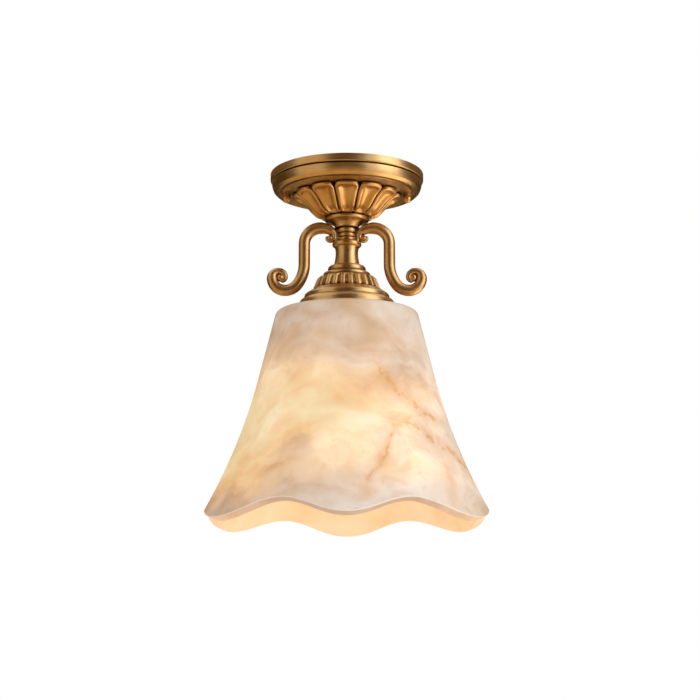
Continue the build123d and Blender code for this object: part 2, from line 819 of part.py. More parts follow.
# Lampholder: a domed cap on the tube's end and a threaded body below it
cap_flank_z = cap_top_z - (holder_r - holder_cap_shoulder_r)
with BuildPart() as lampholder_cap:
    with BuildSketch(Plane.XZ):
        with BuildLine():
            Line((stem_bore_r, cap_top_z), (holder_cap_shoulder_r, cap_top_z))
            RadiusArc(
                (holder_cap_shoulder_r, cap_top_z),
                (holder_r, cap_flank_z),
                holder_r - holder_cap_shoulder_r,
            )
            Polyline(
                (holder_r, cap_flank_z),
                (holder_r, holder_z),
                (holder_r - holder_cap_wall, holder_z),
                (holder_r - holder_cap_wall, cap_flank_z),
            )
            RadiusArc(
                (holder_r - holder_cap_wall, cap_flank_z),
                (holder_cap_shoulder_r, cap_top_z - holder_cap_wall),
                -(holder_r - holder_cap_shoulder_r - holder_cap_wall),
            )
            Polyline(
                (holder_cap_shoulder_r, cap_top_z - holder_cap_wall),
                (stem_bore_r, cap_top_z - holder_cap_wall),
                (stem_bore_r, cap_top_z),
            )
        make_face()
    revolve(axis=Axis.Z)

holder_bore_r = holder_r - holder_wall
with BuildPart() as lampholder_body:
    with BuildSketch(Plane.XY.offset(holder_z)):
        Circle(holder_r)
        Circle(holder_bore_r, mode=Mode.SUBTRACT)
    extrude(amount=-holder_body_height)

# Socket works: an insulating insert with two terminals, a screw shell and a sprung centre contact
with BuildPart() as socket_insert:
    with BuildSketch(Plane.XY.offset(insert_z)):
        Circle(holder_bore_r - fit_gap)
        with GridLocations(terminal_spacing, 0, 2, 1):
            Circle(terminal_r + fit_gap, mode=Mode.SUBTRACT)
    extrude(amount=-insert_height)

with BuildPart() as terminal_screws:
    with GridLocations(terminal_spacing, 0, 2, 1):
        with Locations((0, 0, insert_z)):
            Cylinder(terminal_head_r, terminal_head_height, align=standing)
            Cylinder(terminal_r, insert_height, align=hanging)

with BuildPart() as socket_shell:
    with BuildSketch(Plane.XY.offset(shell_z)):
        Circle(shell_r)
        Circle(shell_r - shell_sheet, mode=Mode.SUBTRACT)
    extrude(amount=-shell_height)

with BuildPart() as centre_contact:
    with BuildSketch(Plane.XZ):
        with BuildLine():
            Polyline(
                (-contact_reach, shell_z),
                (-contact_foot, shell_z),
                (contact_foot, contact_z),
                (contact_reach, contact_z),
                (contact_reach, bulb_z),
                (contact_foot - contact_sheet, bulb_z),
                (-contact_foot - contact_sheet, shell_z - contact_sheet),
                (-contact_reach, shell_z - contact_sheet),
                close=True,
            )
        make_face()
    extrude(amount=contact_width / 2, both=True)

# Screw-cap bulb: tip, insulator and cap, then a tapered housing and an opal globe
insulator_z = bulb_z - bulb_tip_height
cap_shoulder_z = bulb_cap_z - (bulb_cap_r - bulb_insulator_r)
cap_bore_r = bulb_cap_r - bulb_cap_sheet
housing_rim_r = sqrt(bulb_globe_r**2 - bulb_globe_rim_rise**2)
globe_rim_z = globe_centre_z + bulb_globe_rim_rise
globe_mouth_r = sqrt((bulb_globe_r - bulb_globe_wall) ** 2 - bulb_globe_rim_rise**2)
with BuildPart() as bulb_tip:
    with Locations((0, 0, bulb_z)):
        Cylinder(bulb_tip_r, bulb_tip_height, align=hanging)

with BuildPart() as bulb_insulator:
    with Locations((0, 0, insulator_z)):
        Cone(bulb_insulator_r, bulb_tip_r, bulb_insulator_height, align=hanging)

with BuildPart() as bulb_cap:
    profile = straight_profile(
        (bulb_insulator_r, bulb_cap_z),
        (bulb_cap_r, cap_shoulder_z),
        (bulb_cap_r, housing_z),
        (cap_bore_r, housing_z),
        (cap_bore_r, cap_shoulder_z),
        (bulb_insulator_r - bulb_cap_sheet, bulb_cap_z),
    )
    revolve(profile, axis=Axis.Z)

with BuildPart() as bulb_housing:
    with BuildSketch(Plane.XZ):
        with BuildLine():
            neck_foot_z = housing_z - bulb_neck_height
            Line((bulb_neck_r, housing_z), (bulb_neck_r, neck_foot_z))
            Spline(
                (bulb_neck_r, neck_foot_z),
                (housing_rim_r, globe_rim_z),
                tangents=[(0.35, -1), (0.45, -1)],
            )
            Line((housing_rim_r, globe_rim_z), (housing_rim_r - bulb_housing_wall, globe_rim_z))
            Spline(
                (housing_rim_r - bulb_housing_wall, globe_rim_z),
                (bulb_neck_r - bulb_housing_wall, neck_foot_z),
                tangents=[(-0.45, 1), (-0.35, 1)],
            )
            Polyline(
                (bulb_neck_r - bulb_housing_wall, neck_foot_z),
                (bulb_neck_r - bulb_housing_wall, housing_z),
                (bulb_neck_r, housing_z),
            )
        make_face()
    revolve(axis=Axis.Z)

with BuildPart() as bulb_board:
    with Locations((0, 0, globe_rim_z)):
        Cylinder(globe_mouth_r - fit_gap, bulb_board_thickness, align=hanging)

with BuildPart() as bulb_globe:
    with Locations((0, 0, globe_centre_z)):
        Sphere(bulb_globe_r)
        Sphere(bulb_globe_r - bulb_globe_wall, mode=Mode.SUBTRACT)
    split(bisect_by=Plane.XY.offset(globe_rim_z), keep=Keep.BOTTOM)

pieces = {
    "ceiling_bracket": ceiling_bracket,
    "earth_screw": earth_screw,
    "canopy_studs": canopy_studs,
    "canopy_plate": canopy_plate,
    "canopy_cup": canopy_cup,
    "cup_screws": cup_screws,
    "finial_washer_left": finial_washer_left,
    "finial_washer_right": finial_washer_right,
    "finial_nut_left": finial_nut_left,
    "finial_nut_right": finial_nut_right,
    "threaded_tube": threaded_tube,
    "tube_washer": tube_washer,
    "tube_nut": tube_nut,
    "stem_collar": stem_collar,
    "stem_neck": stem_neck,
    "stem_knop": stem_knop,
    "stem_column": stem_column,
    "stem_base": stem_base,
    "gadroon_ring": gadroon_ring,
    "shade_fitter": shade_fitter,
    "scroll_arm_left": scroll_arm_left,
    "scroll_arm_right": scroll_arm_right,
    "arm_pins": arm_pins,
    "upper_gasket": upper_gasket,
    "alabaster_shade": alabaster_shade,
    "lower_gasket": lower_gasket,
    "shade_ring": shade_ring,
    "lampholder_cap": lampholder_cap,
    "lampholder_body": lampholder_body,
    "socket_insert": socket_insert,
    "terminal_screws": terminal_screws,
    "socket_shell": socket_shell,
    "centre_contact": centre_contact,
    "bulb_tip": bulb_tip,
    "bulb_insulator": bulb_insulator,
    "bulb_cap": bulb_cap,
    "bulb_housing": bulb_housing,
    "bulb_board": bulb_board,
    "bulb_globe": bulb_globe,
}
os.makedirs("parts", exist_ok=True)
for name, piece in pieces.items():
    piece.part.label = name
    export_step(piece.part, f"parts/{name}.step")
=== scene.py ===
from math import atan2, cos, hypot, pi, radians, sin, sqrt, tan

import bmesh
import bpy
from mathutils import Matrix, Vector


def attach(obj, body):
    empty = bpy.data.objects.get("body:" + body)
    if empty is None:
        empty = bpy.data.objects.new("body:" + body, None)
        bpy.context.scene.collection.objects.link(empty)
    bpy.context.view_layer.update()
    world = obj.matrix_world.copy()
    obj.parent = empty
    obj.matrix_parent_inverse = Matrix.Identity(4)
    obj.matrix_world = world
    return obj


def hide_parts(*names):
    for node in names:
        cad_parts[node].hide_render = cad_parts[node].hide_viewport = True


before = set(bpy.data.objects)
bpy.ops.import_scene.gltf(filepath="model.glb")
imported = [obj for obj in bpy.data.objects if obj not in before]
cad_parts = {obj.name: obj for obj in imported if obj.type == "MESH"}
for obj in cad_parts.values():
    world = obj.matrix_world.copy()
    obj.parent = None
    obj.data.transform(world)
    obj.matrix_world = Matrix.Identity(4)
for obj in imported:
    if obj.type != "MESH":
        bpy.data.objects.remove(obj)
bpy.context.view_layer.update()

mm = 0.001


# Ceiling bracket: a cross pressed from zinc plated steel, with slots for the ceiling box's screws.
# Two studs hang from its dropped arms to carry the canopy, and a green screw takes the earth.
def linear(colour):
    """An sRGB hex colour as the linear colour that a shader takes."""
    parts = [int(colour[place:place + 2], 16) / 255 for place in (1, 3, 5)]
    return [p / 12.92 if p <= 0.04045 else ((p + 0.055) / 1.055) ** 2.4 for p in parts] + [1.0]


def plug(tree, node, sockets):
    """Gives each socket of a node a value, a hex colour or another node's output."""
    for socket, value in sockets.items():
        if isinstance(value, bpy.types.NodeSocket):
            tree.links.new(value, node.inputs[socket])
        else:
            node.inputs[socket].default_value = linear(value) if isinstance(value, str) else value


def add_node(tree, kind, sockets=None, **settings):
    """Adds a node with its settings and what goes into its sockets."""
    node = tree.nodes.new("ShaderNode" + kind)
    for name, value in settings.items():
        setattr(node, name, value)
    plug(tree, node, sockets or {})
    return node


def vectors(tree, operation, *values):
    """The outputs of one sum on vectors."""
    return add_node(tree, "VectorMath", dict(enumerate(values)), operation=operation).outputs


def noise(tree, place, patch_mm, detail=2.0, roughness=0.5, output="Fac"):
    """Soft noise with patches of about patch_mm, for a place in millimetres."""
    sockets = {"Vector": place, "Scale": 1 / patch_mm, "Detail": detail, "Roughness": roughness}
    return add_node(tree, "TexNoise", sockets).outputs[output]


def toned(tree, share, *stops):
    """A share as a colour, through stops that each have a position and a hex colour."""
    node = add_node(tree, "ValToRGB", {"Fac": share})
    ramp = node.color_ramp.elements
    while len(ramp) < len(stops):
        ramp.new(1.0)
    for element, (position, colour) in zip(ramp, stops):
        element.position = position
        element.color = linear(colour)
    return node.outputs[0]


def mapped(tree, value, source=(0, 1), target=(0, 1), way="LINEAR"):
    """A value carried from one range over to another and held inside it."""
    names = ("Value", "From Min", "From Max", "To Min", "To Max")
    sockets = dict(zip(names, (value, *source, *target)))
    return add_node(tree, "MapRange", sockets, interpolation_type=way).outputs[0]


def bumped(tree, height, strength, depth_mm):
    """The surface normal of a fine relief."""
    sockets = {"Height": height, "Strength": strength, "Distance": depth_mm * mm}
    return add_node(tree, "Bump", sockets).outputs[0]


def new_finish(name):
    """A new material with its node tree, its shader and its place on the piece in millimetres."""
    material = bpy.data.materials.new(name)
    material.use_nodes = True
    tree = material.node_tree
    place = add_node(tree, "TexCoord").outputs["Object"]
    place_mm = add_node(tree, "VectorMath", {0: place, "Scale": 1 / mm}, operation="SCALE").outputs[0]
    return material, tree, tree.nodes["Principled BSDF"], place_mm


def mottled(name, patch_mm, tones, gloss, detail=2.0, tinted="Base Color", sockets=None):
    """A finish with soft patches of two or three tones, which go into the socket named by tinted.

    gloss is its roughness, or the range of roughness that the patches have.
    """
    material, tree, shader, place_mm = new_finish(name)
    patches = noise(tree, place_mm, patch_mm, detail)
    first_stop, spread = 0.3, 0.4 / (len(tones) - 1)
    stops = [(first_stop + spread * number, tone) for number, tone in enumerate(tones)]
    if isinstance(gloss, tuple):
        gloss = mapped(tree, patches, target=gloss)
    plug(tree, shader, {tinted: toned(tree, patches, *stops), "Roughness": gloss, **(sockets or {})})
    return material


def coat(material, *nodes):
    """Gives solids that stay as the frame has them their finish."""
    for name in nodes:
        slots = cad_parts[name].data.materials
        slots.clear()
        slots.append(material)


# Zinc plating, bright and cool with a soft bloom: a fine drawn grain and faint cloudy spangle.
zinc_plated_steel, tree, shader, place_mm = new_finish("zinc_plated_steel")
spangle_mm, drawn_grain_mm, drawing_out = 5.0, 0.5, (0.1, 1, 1)
spangle = noise(tree, place_mm, spangle_mm, detail=3.0)
grain = noise(tree, vectors(tree, "MULTIPLY", place_mm, drawing_out)[0], drawn_grain_mm)
plug(tree, shader, {
    "Base Color": toned(tree, spangle, (0.3, "#9FA3A4"), (0.7, "#C3C6C4")),
    "Roughness": mapped(tree, grain, target=(0.28, 0.46)),
    "Normal": bumped(tree, grain, strength=0.15, depth_mm=0.05),
    "Metallic": 1.0,
})
coat(
    zinc_plated_steel,
    "ceiling_bracket", "canopy_studs", "cup_screws", "threaded_tube", "tube_washer", "tube_nut",
)

# Green lacquer over a steel screw head, thin enough for the metal to glint through.
green_lacquer = mottled(
    "green_lacquered_steel", patch_mm=1.2, tones=("#1E5A2C", "#3A8746"), gloss=0.32,
    sockets={"Metallic": 0.55},
)
coat(green_lacquer, "earth_screw")


# Canopy plate: a shallow pan spun from brass sheet, with two bands, a dark groove between them and a lip.
# It hides the ceiling box and is drawn up on the studs by two ball nuts.
def rounding(start, corner, end, steps):
    """Points along the curve that rounds a corner off, with both its ends."""
    shares = [step / steps for step in range(steps + 1)]
    return [start * (1 - t) ** 2 + corner * 2 * t * (1 - t) + end * t ** 2 for t in shares]


def eased(corners, steps=4):
    """A closed lathe profile with rounded corners, each given as radius, height and easing in mm."""
    rounded = []
    guard, most = 0.1, 0.4
    for index, (r, z, easing) in enumerate(corners):
        here = Vector((r, z))
        if not easing:
            rounded.append(here)
            continue
        before = Vector(corners[index - 1][:2]) - here
        after = Vector(corners[(index + 1) % len(corners)][:2]) - here
        reach = min(easing, most * before.length, most * after.length)
        start = here + before.normalized() * reach
        end = here + after.normalized() * reach
        rounded.append(start + before.normalized() * min(guard, reach / 4))
        rounded += rounding(start, here, end, steps)
        rounded.append(end + after.normalized() * min(guard, reach / 4))
    return rounded


def bowed(start, end, sagitta, steps=10):
    """Profile corners along a shallow arc from start to end; a positive sagitta bows to its left."""
    (r0, z0), (r1, z1) = start, end
    corners = []
    for step in range(1, steps):
        t = step / steps
        bow = 4 * sagitta * t * (1 - t) / hypot(r1 - r0, z1 - z0)
        corners.append((r0 + (r1 - r0) * t - (z1 - z0) * bow, z0 + (z1 - z0) * t + (r1 - r0) * bow, 0))
    return corners


def half_round(outer_r, top_z, height, steps=14):
    """Profile corners down the half-round edge of a ring."""
    corners = []
    for step in range(steps + 1):
        angle = pi * step / steps
        corners.append((outer_r - height / 2 * (1 - sin(angle)), top_z - height / 2 * (1 - cos(angle)), 0))
    return corners


def put(name, data):
    """Puts a mesh, a light or a camera into the scene."""
    placed = bpy.data.objects.new(name, data)
    bpy.context.collection.objects.link(placed)
    return placed


def set_down(name, shaped):
    """Cleans a mesh in the making and sets it in the scene as a smooth piece."""
    bmesh.ops.remove_doubles(shaped, verts=shaped.verts, dist=1e-7)
    bmesh.ops.recalc_face_normals(shaped, faces=shaped.faces)
    mesh = bpy.data.meshes.new(name)
    shaped.to_mesh(mesh)
    shaped.free()
    mesh.shade_smooth()
    return put(name, mesh)


def closed_mesh(name, loops):
    """A smooth closed piece from loops of points in millimetres, all of the same length."""
    shaped = bmesh.new()
    columns = [[shaped.verts.new(Vector(point) * mm) for point in loop] for loop in loops]
    for column, beside in zip(columns, columns[1:] + columns[:1]):
        for row in range(len(column)):
            above = (row + 1) % len(column)
            shaped.faces.new((column[row], beside[row], beside[above], column[above]))
    return set_down(name, shaped)


def fit(piece, node, material, slot="antique_brass", body="fixture"):
    """Sets a finished piece on its body, in place of the solid that it stands for."""
    piece.data.materials.append(material)
    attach(piece, body)
    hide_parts(node)


def turn(node, made, material, corners, around, shape=None, axis_x=0.0, **place):
    """Turns a piece on the lathe and fits it; shape changes a point by its angle, made ends its name."""
    profile = eased(corners)
    loops = []
    for column in range(around):
        angle = 2 * pi * column / around
        points = [shape(r, z, angle) for r, z in profile] if shape else profile
        loops.append([(axis_x + r * cos(angle), r * sin(angle), z) for r, z in points])
    fit(closed_mesh(f"{node}_{made}", loops), node, material, **place)


def maths(tree, operation, *values, **settings):
    """The output of one sum on numbers."""
    return add_node(tree, "Math", dict(enumerate(values)), operation=operation, **settings).outputs[0]


def mixed(tree, share, under, over, way="MIX"):
    """Two colours, with a share of the second laid over the first."""
    sockets = {0: share, 6: under, 7: over}
    return add_node(tree, "Mix", sockets, data_type="RGBA", blend_type=way).outputs[2]


def antique_brass(name, tones, marks_mm, bite, gloss_range, drawn_out=0.0):
    """Lacquered antique brass: brown patina and painted shade in the hollows, rubbed wear and a painted
    highlight on the edges.

    tones go from its dullest to its brightest metal. marks_mm is the width of the tool marks, bite how much
    they show and gloss_range the roughness they vary; drawn_out above 0 stretches them round the axis.
    """
    material, tree, shader, place_mm = new_finish(name)
    marks_place = place_mm
    if drawn_out:
        x, y, z = add_node(tree, "SeparateXYZ", {0: place_mm}).outputs
        radius = vectors(tree, "LENGTH", vectors(tree, "MULTIPLY", place_mm, (1, 1, 0))[0])["Value"]
        drawn = maths(tree, "MULTIPLY", maths(tree, "ARCTAN2", y, x), drawn_out)
        marks_place = add_node(tree, "CombineXYZ", {0: radius, 1: z, 2: drawn}).outputs[0]
    bloom_mm, hollow_mm, edge_mm = 14.0, 4.0, 0.6
    marks = noise(tree, marks_place, marks_mm, detail=3.0)
    bloom = noise(tree, place_mm, bloom_mm, detail=3.0)
    hollow = add_node(tree, "AmbientOcclusion", {"Distance": hollow_mm * mm}, samples=12)
    edge = add_node(tree, "AmbientOcclusion", {"Distance": edge_mm * mm}, samples=8, inside=True)
    metal = toned(tree, bloom, *zip((0.3, 0.55, 0.75), tones))
    streaks = toned(tree, marks, (0.25, "#D8CBB8"), (0.65, "#FFFFFF"))
    streaked = mixed(tree, bite, metal, streaks, "MULTIPLY")
    # Painted highlight and wear: thin edges found by an inside occlusion are made paler, standing in for
    # rubbed metal and for the highlights on beads.
    edge_wear_and_highlight = mapped(tree, edge.outputs["AO"], (0.48, 0.2))
    rubbed_and_highlit = mixed(tree, edge_wear_and_highlight, streaked, "#EFD3A2")
    # Painted shade and patina: hollows and creases found by occlusion go dark brown, standing in for patina
    # and for the shade that falls there.
    patina_and_shade = mapped(tree, hollow.outputs["AO"], (0.68, 0.18))
    patina_and_shade_roughness = 0.25
    gloss = mapped(tree, marks, (0.3, 0.7), gloss_range)
    plug(tree, shader, {
        "Base Color": mixed(tree, patina_and_shade, rubbed_and_highlit, "#45280C"),
        "Roughness": maths(tree, "MULTIPLY_ADD", patina_and_shade, patina_and_shade_roughness, gloss),
        "Normal": bumped(tree, marks, strength=0.2 * bite, depth_mm=0.05),
        "Metallic": 1.0, "Coat Weight": 0.08, "Coat Roughness": 0.3,
    })
    return material, tree, shader


# Brass brushed on the lathe: real scratches are finer than a pixel, so they are drawn 0.5 mm wide.
# Their rings spread each highlight along the axis into soft upright bands.
brushed_brass, tree, shader = antique_brass(
    "brushed_antique_brass", tones=("#D2AA70", "#DDBB87", "#E4C596"),
    marks_mm=0.5, bite=0.6, gloss_range=(0.32, 0.42), drawn_out=2.0,
)
around_axis = add_node(tree, "Tangent", direction_type="RADIAL", axis="Z").outputs[0]
plug(tree, shader, {"Tangent": around_axis, "Anisotropic": 0.6, "Anisotropic Rotation": 0.25})

canopy_r = 56.4
band_z, groove_r, groove_z = -5.6, 53.2, -6.6
step_r, step_bow, roll_r, roll_z = 55.4, 0.35, 53.7, -12.5
lip_r, lip_z, lip_inner_r = 51.8, -14.3, 50.9
quirk_r, quirk_z = 48.4, -13.3
canopy_z, plate_top_z = -14.7, -12.7
canopy_opening_r = 31.4
canopy_inner_r, canopy_neck_r, pan_r, pan_z = 54.0, 51.8, 49.8, -9.6
turn("canopy_plate", "spun", brushed_brass, [
    (canopy_r, 0, 0.5), (canopy_r, band_z, 1.25), (groove_r, band_z, 0.1), (groove_r, groove_z, 0.1),
    (step_r, groove_z, 0.3),
] + bowed((step_r, groove_z), (roll_r, roll_z), step_bow) + [
    (roll_r, roll_z, 0.9), (lip_r, lip_z, 0.7), (lip_inner_r, lip_z, 0.3),
    (lip_inner_r, quirk_z, 0.1), (quirk_r, quirk_z, 0.1), (quirk_r, canopy_z, 0.2),
    (canopy_opening_r, canopy_z, 0.3), (canopy_opening_r, plate_top_z, 0.3), (pan_r, plate_top_z, 0.6),
    (pan_r, pan_z, 0.5), (canopy_neck_r, band_z, 0.5), (canopy_inner_r, 0, 0.3),
], around=256)


# Canopy cup: a cast brass calyx of twelve petals, each a beaded border round a spoon-shaped hollow.
# Four screws from above hold it under the canopy plate, and the stem hangs from its floor.
# Cast brass, sanded and waxed by hand: a soft satin with a fine even grain and no tool lines.
cast_brass, tree, shader = antique_brass(
    "cast_antique_brass", tones=("#CDA066", "#D7AF78", "#DFBA85"),
    marks_mm=3.0, bite=0.02, gloss_range=(0.36, 0.4),
)

petal_count = 12
half_sector = tan(pi / petal_count)
cup_r, cup_foot_r, cup_z = 40.2, 17.6, -32.4
cup_core_r, cup_throat_r = 33.4, 24.0
petal_tip_z, petal_shoulder_x, petal_tip_power = -17.5, 33.2, 2.6
petal_foot_gap, petal_tip_gap = 1.6, 1.0
bead_foot_width, bead_tip_width, bead_height = 1.8, 3.6, 1.2
hollow_depth, hollow_lead, hollow_run = 1.1, 1, 3
spoon_depth, spoon_run, groove_depth, groove_side_share = 0.5, 4, 2.6, 0.9
foot_share, foot_fade = 0.3, 0.08
cup_floor_z, cup_flange_r, cup_wall = cup_z + 3.0, 29.0, 6.0
stem_bore_r = 4.1


def ogee(t):
    """The petals' S-curve as radius and height, from the tip at 0 to the foot at 1."""
    tip, foot = Vector((cup_r, petal_tip_z)), Vector((cup_foot_r, cup_z))
    reach = (foot - tip).length
    leave_angle, leave_pull, arrive_angle, arrive_pull = radians(15), 1.5, radians(6), 1.2
    leave = Vector((-cos(leave_angle), -sin(leave_angle))) * leave_pull * reach
    arrive = Vector((-cos(arrive_angle), -sin(arrive_angle))) * arrive_pull * reach
    return (
        tip * (2 * t ** 3 - 3 * t ** 2 + 1) + leave * (t ** 3 - 2 * t ** 2 + t)
        + foot * (3 * t ** 2 - 2 * t ** 3) + arrive * (t ** 3 - t ** 2)
    )


ogee_steps = 200
ogee_line = [ogee(step / ogee_steps) for step in range(ogee_steps + 1)]


def ogee_z(r):
    """Height of the petals' face at a radius, found on the S-curve."""
    for (r0, z0), (r1, z1) in zip(ogee_line, ogee_line[1:]):
        if r0 >= r >= r1:
            return z0 + (z1 - z0) * (r0 - r) / (r0 - r1)
    return petal_tip_z if r > cup_r else cup_z


def smooth_step(low, high, value):
    """A soft step from 0 at low to 1 at high."""
    t = min(max((value - low) / (high - low), 0), 1)
    return t * t * (3 - 2 * t)


def ogee_lean(r):
    """How steeply the petals' face leans at a radius."""
    reach = 0.2
    return atan2(ogee_z(r + reach) - ogee_z(r - reach), 2 * reach)


def petal_relief(inside, bead_width):
    """How far the petal's face stands back at a distance in from its outline."""
    crown = bead_width / 2
    if inside < bead_width:
        return bead_height * (1 - sqrt(max(0, 1 - ((crown - inside) / crown) ** 2)))
    hollow = hollow_depth * smooth_step(bead_width - hollow_lead, bead_width + hollow_run, inside)
    return bead_height + hollow + spoon_depth * smooth_step(bead_width, spoon_run * bead_width, inside)


def half_gap(x):
    """Half the groove's width between two petals, which narrows to the tips."""
    narrowing = smooth_step(cup_foot_r, petal_shoulder_x, x)
    return (petal_foot_gap + (petal_tip_gap - petal_foot_gap) * narrowing) / 2


def half_width(x):
    """Half the petal's width at a distance out along its middle line."""
    return x * half_sector - half_gap(x)


def petal_tip_x(share):
    """How far out the rounded tip reaches at a share of the half width."""
    return petal_shoulder_x + (cup_r - petal_shoulder_x) * sqrt(1 - abs(share) ** petal_tip_power)


edge_steps, tip_steps = 40, 60
outline = []
for step in range(edge_steps):
    edge_x = cup_foot_r + (petal_shoulder_x - cup_foot_r) * step / edge_steps
    outline.append(Vector((edge_x, half_width(edge_x))))
for step in range(tip_steps + 1):
    share = cos(pi / 2 * step / tip_steps)
    outline.append(Vector((petal_tip_x(share), share * half_width(petal_tip_x(share)))))


def outline_distance(spot):
    """Distance from a point of the petal to its outline, which is the same on both sides."""
    nearest = min(range(len(outline)), key=lambda index: (outline[index] - spot).length_squared)
    distance = (outline[nearest] - spot).length
    for other in (nearest - 1, nearest + 1):
        if 0 <= other < len(outline):
            edge = outline[other] - outline[nearest]
            along = min(max((spot - outline[nearest]).dot(edge) / edge.length_squared, 0), 1)
            distance = min(distance, (outline[nearest] + edge * along - spot).length)
    return distance


petal_shares = [1, 0.995, 0.98, 0.955, 0.925, 0.89, 0.85, 0.8, 0.74, 0.66, 0.56, 0.43, 0.28, 0.14]
petal_shares = [-share for share in petal_shares] + [0] + petal_shares[::-1]
groove_middle, groove_side = 2, 1.3
face_rows, tip_rows, tip_start = 30, 18, 0.84
petal_rows = [row / face_rows * tip_start for row in range(face_rows)]
petal_rows += [tip_start + (1 - tip_start) * row / tip_rows for row in range(tip_rows + 1)]


def petal_column(share):
    """Points up one line of a petal, along +X, from its foot to its tip; past 1 lies the groove."""
    groove = abs(share) > 1
    tip_x = cup_core_r if groove else petal_tip_x(share)
    column = []
    for row in petal_rows:
        x = cup_foot_r + (tip_x - cup_foot_r) * row
        if groove:
            y = (half_width(x) + (abs(share) - 1) * half_gap(x)) * (1 if share > 0 else -1)
            relief = groove_depth * (groove_side_share if abs(share) < groove_middle else 1)
        else:
            y = share * half_width(x)
            widening = smooth_step(cup_foot_r, petal_shoulder_x, x)
            bead_width = bead_foot_width + (bead_tip_width - bead_foot_width) * widening
            inside = min(outline_distance(Vector((x, abs(y)))), x - cup_foot_r + bead_width / 2)
            relief = petal_relief(inside, bead_width)
        relief *= foot_share + (1 - foot_share) * smooth_step(0, foot_fade, row)
        r = hypot(x, y)
        pull = 1 - relief * sin(ogee_lean(r)) / r
        column.append((x * pull, y * pull, ogee_z(r) + relief * cos(ogee_lean(r))))
    return column


cup_inside = [
    (cup_flange_r, canopy_z), (cup_flange_r, ogee_z(cup_flange_r) + cup_wall),
    (cup_throat_r, ogee_z(cup_throat_r) + cup_wall), (cup_foot_r, cup_floor_z),
    (stem_bore_r, cup_floor_z), (stem_bore_r, cup_z),
]
tip_turn_in = ((0.1, 0.25), (0.35, 0.5), (0.8, 0.75), (1.4, 1.0))
cup_loops = []
sector = [petal_column(share) for share in [-groove_middle, -groove_side] + petal_shares + [groove_side]]
for petal in range(petal_count):
    bearing = 2 * pi * petal / petal_count - pi / 2
    for line in sector:
        column = list(line)
        tip_x, tip_y, tip_z = column[-1]
        for back, rise in tip_turn_in:
            inward = 1 - back / hypot(tip_x, tip_y)
            column.append((tip_x * inward, tip_y * inward, tip_z + (canopy_z - tip_z) * rise))
        lean = atan2(tip_y, tip_x)
        column += [(r * cos(lean), r * sin(lean), z) for r, z in cup_inside]
        cup_loops.append([
            (x * cos(bearing) - y * sin(bearing), x * sin(bearing) + y * cos(bearing), z)
            for x, y, z in column
        ])
fit(closed_mesh("canopy_cup_petals", cup_loops), "canopy_cup", cast_brass)


# Ball nuts and washers: turned brass balls, drilled and tapped, that screw up the two studs.
# Each bears on a thin washer, a slip off its face, and pulls the canopy against the ceiling.
stud_x = 44.45
washer_r, washer_bore_r, washer_z = 3.1, 2.1, canopy_z - 0.6
slip = 0.02
nut_top_z = washer_z - slip
ball_r, ball_z = 3.2, canopy_z - 3.2
nut_bore_r, nut_bore_z, nut_land_r = 2.1, nut_top_z - 4.2, 2.5
land_angle, ball_steps, axis_r = radians(52), 24, 0.02
ball_profile = [(nut_bore_r, nut_top_z, 0.1), (nut_land_r, nut_top_z, 0.1)]
for step in range(1, ball_steps):
    polar = land_angle + (pi - land_angle) * step / ball_steps
    ball_profile.append((ball_r * sin(polar), ball_z + ball_r * cos(polar), 0))
ball_profile += [(axis_r, ball_z - ball_r, 0), (axis_r, nut_bore_z, 0), (nut_bore_r, nut_bore_z, 0.1)]
washer_profile = [
    (washer_bore_r, canopy_z, 0.05), (washer_r, canopy_z, 0.15),
    (washer_r, washer_z, 0.2), (washer_bore_r, washer_z, 0.05),
]
for side, axis_x in (("left", -stud_x), ("right", stud_x)):
    turn(
        f"finial_washer_{side}", "turned", brushed_brass, washer_profile, around=64,
        axis_x=axis_x, body=f"washer_{side}",
    )
    turn(
        f"finial_nut_{side}", "turned", cast_brass, ball_profile, around=64,
        axis_x=axis_x, body=f"nut_{side}",
    )


# Stem: five brass turnings threaded like beads on a steel tube, from the collar under the cup to the base.
# The nut inside the cup draws them tight against the shade fitter.
collar_r, collar_bead, collar_cove_r, collar_foot_r, collar_sag = 16.4, 3.2, 13.4, 8.7, -1.0
collar_bead_z, collar_z = -35.6, -40.2
turn("stem_collar", "turned", brushed_brass, (
    [(stem_bore_r, cup_z, 0)] + half_round(collar_r, cup_z, collar_bead)
    + [(collar_cove_r, collar_bead_z, 0.25)]
    + bowed((collar_cove_r, collar_bead_z), (collar_foot_r, collar_z), collar_sag)
    + [(collar_foot_r, collar_z, 0.3), (stem_bore_r, collar_z, 0)]
), around=160)

neck_profile = [(stem_bore_r, collar_z, 0)]
neck_z = collar_z
for neck_ring_r, neck_ring_height in ((7.1, 4.0), (6.3, 3.2), (6.3, 3.2)):
    neck_profile += half_round(neck_ring_r, neck_z, neck_ring_height)
    neck_z -= neck_ring_height
turn("stem_neck", "turned", brushed_brass, neck_profile + [(stem_bore_r, neck_z, 0)], around=128)

knop_r, knop_height = 10.7, 4.4
knop_z = neck_z - knop_height
turn("stem_knop", "turned", brushed_brass, (
    [(stem_bore_r, neck_z, 0)] + half_round(knop_r, neck_z, knop_height) + [(stem_bore_r, knop_z, 0)]
), around=128)

column_top_r, column_r, column_flare = 8.9, 8.2, 1.6
column_z, waist_drop, flare_length = knop_z - 14.0, 4.0, 10.0
column_profile = [(stem_bore_r, knop_z, 0), (column_top_r, knop_z, 0.2), (column_r + 0.2, knop_z - 1.8, 0)]
for drop in (waist_drop, 5.5, 7, 8.5, 10, 11.5, 13):
    flare = column_flare * ((drop - waist_drop) / flare_length) ** 2
    column_profile.append((column_r + flare, knop_z - drop, 0))
column_profile += [(column_r + column_flare, column_z, 0.2), (stem_bore_r, column_z, 0)]
turn("stem_column", "turned", brushed_brass, column_profile, around=128)

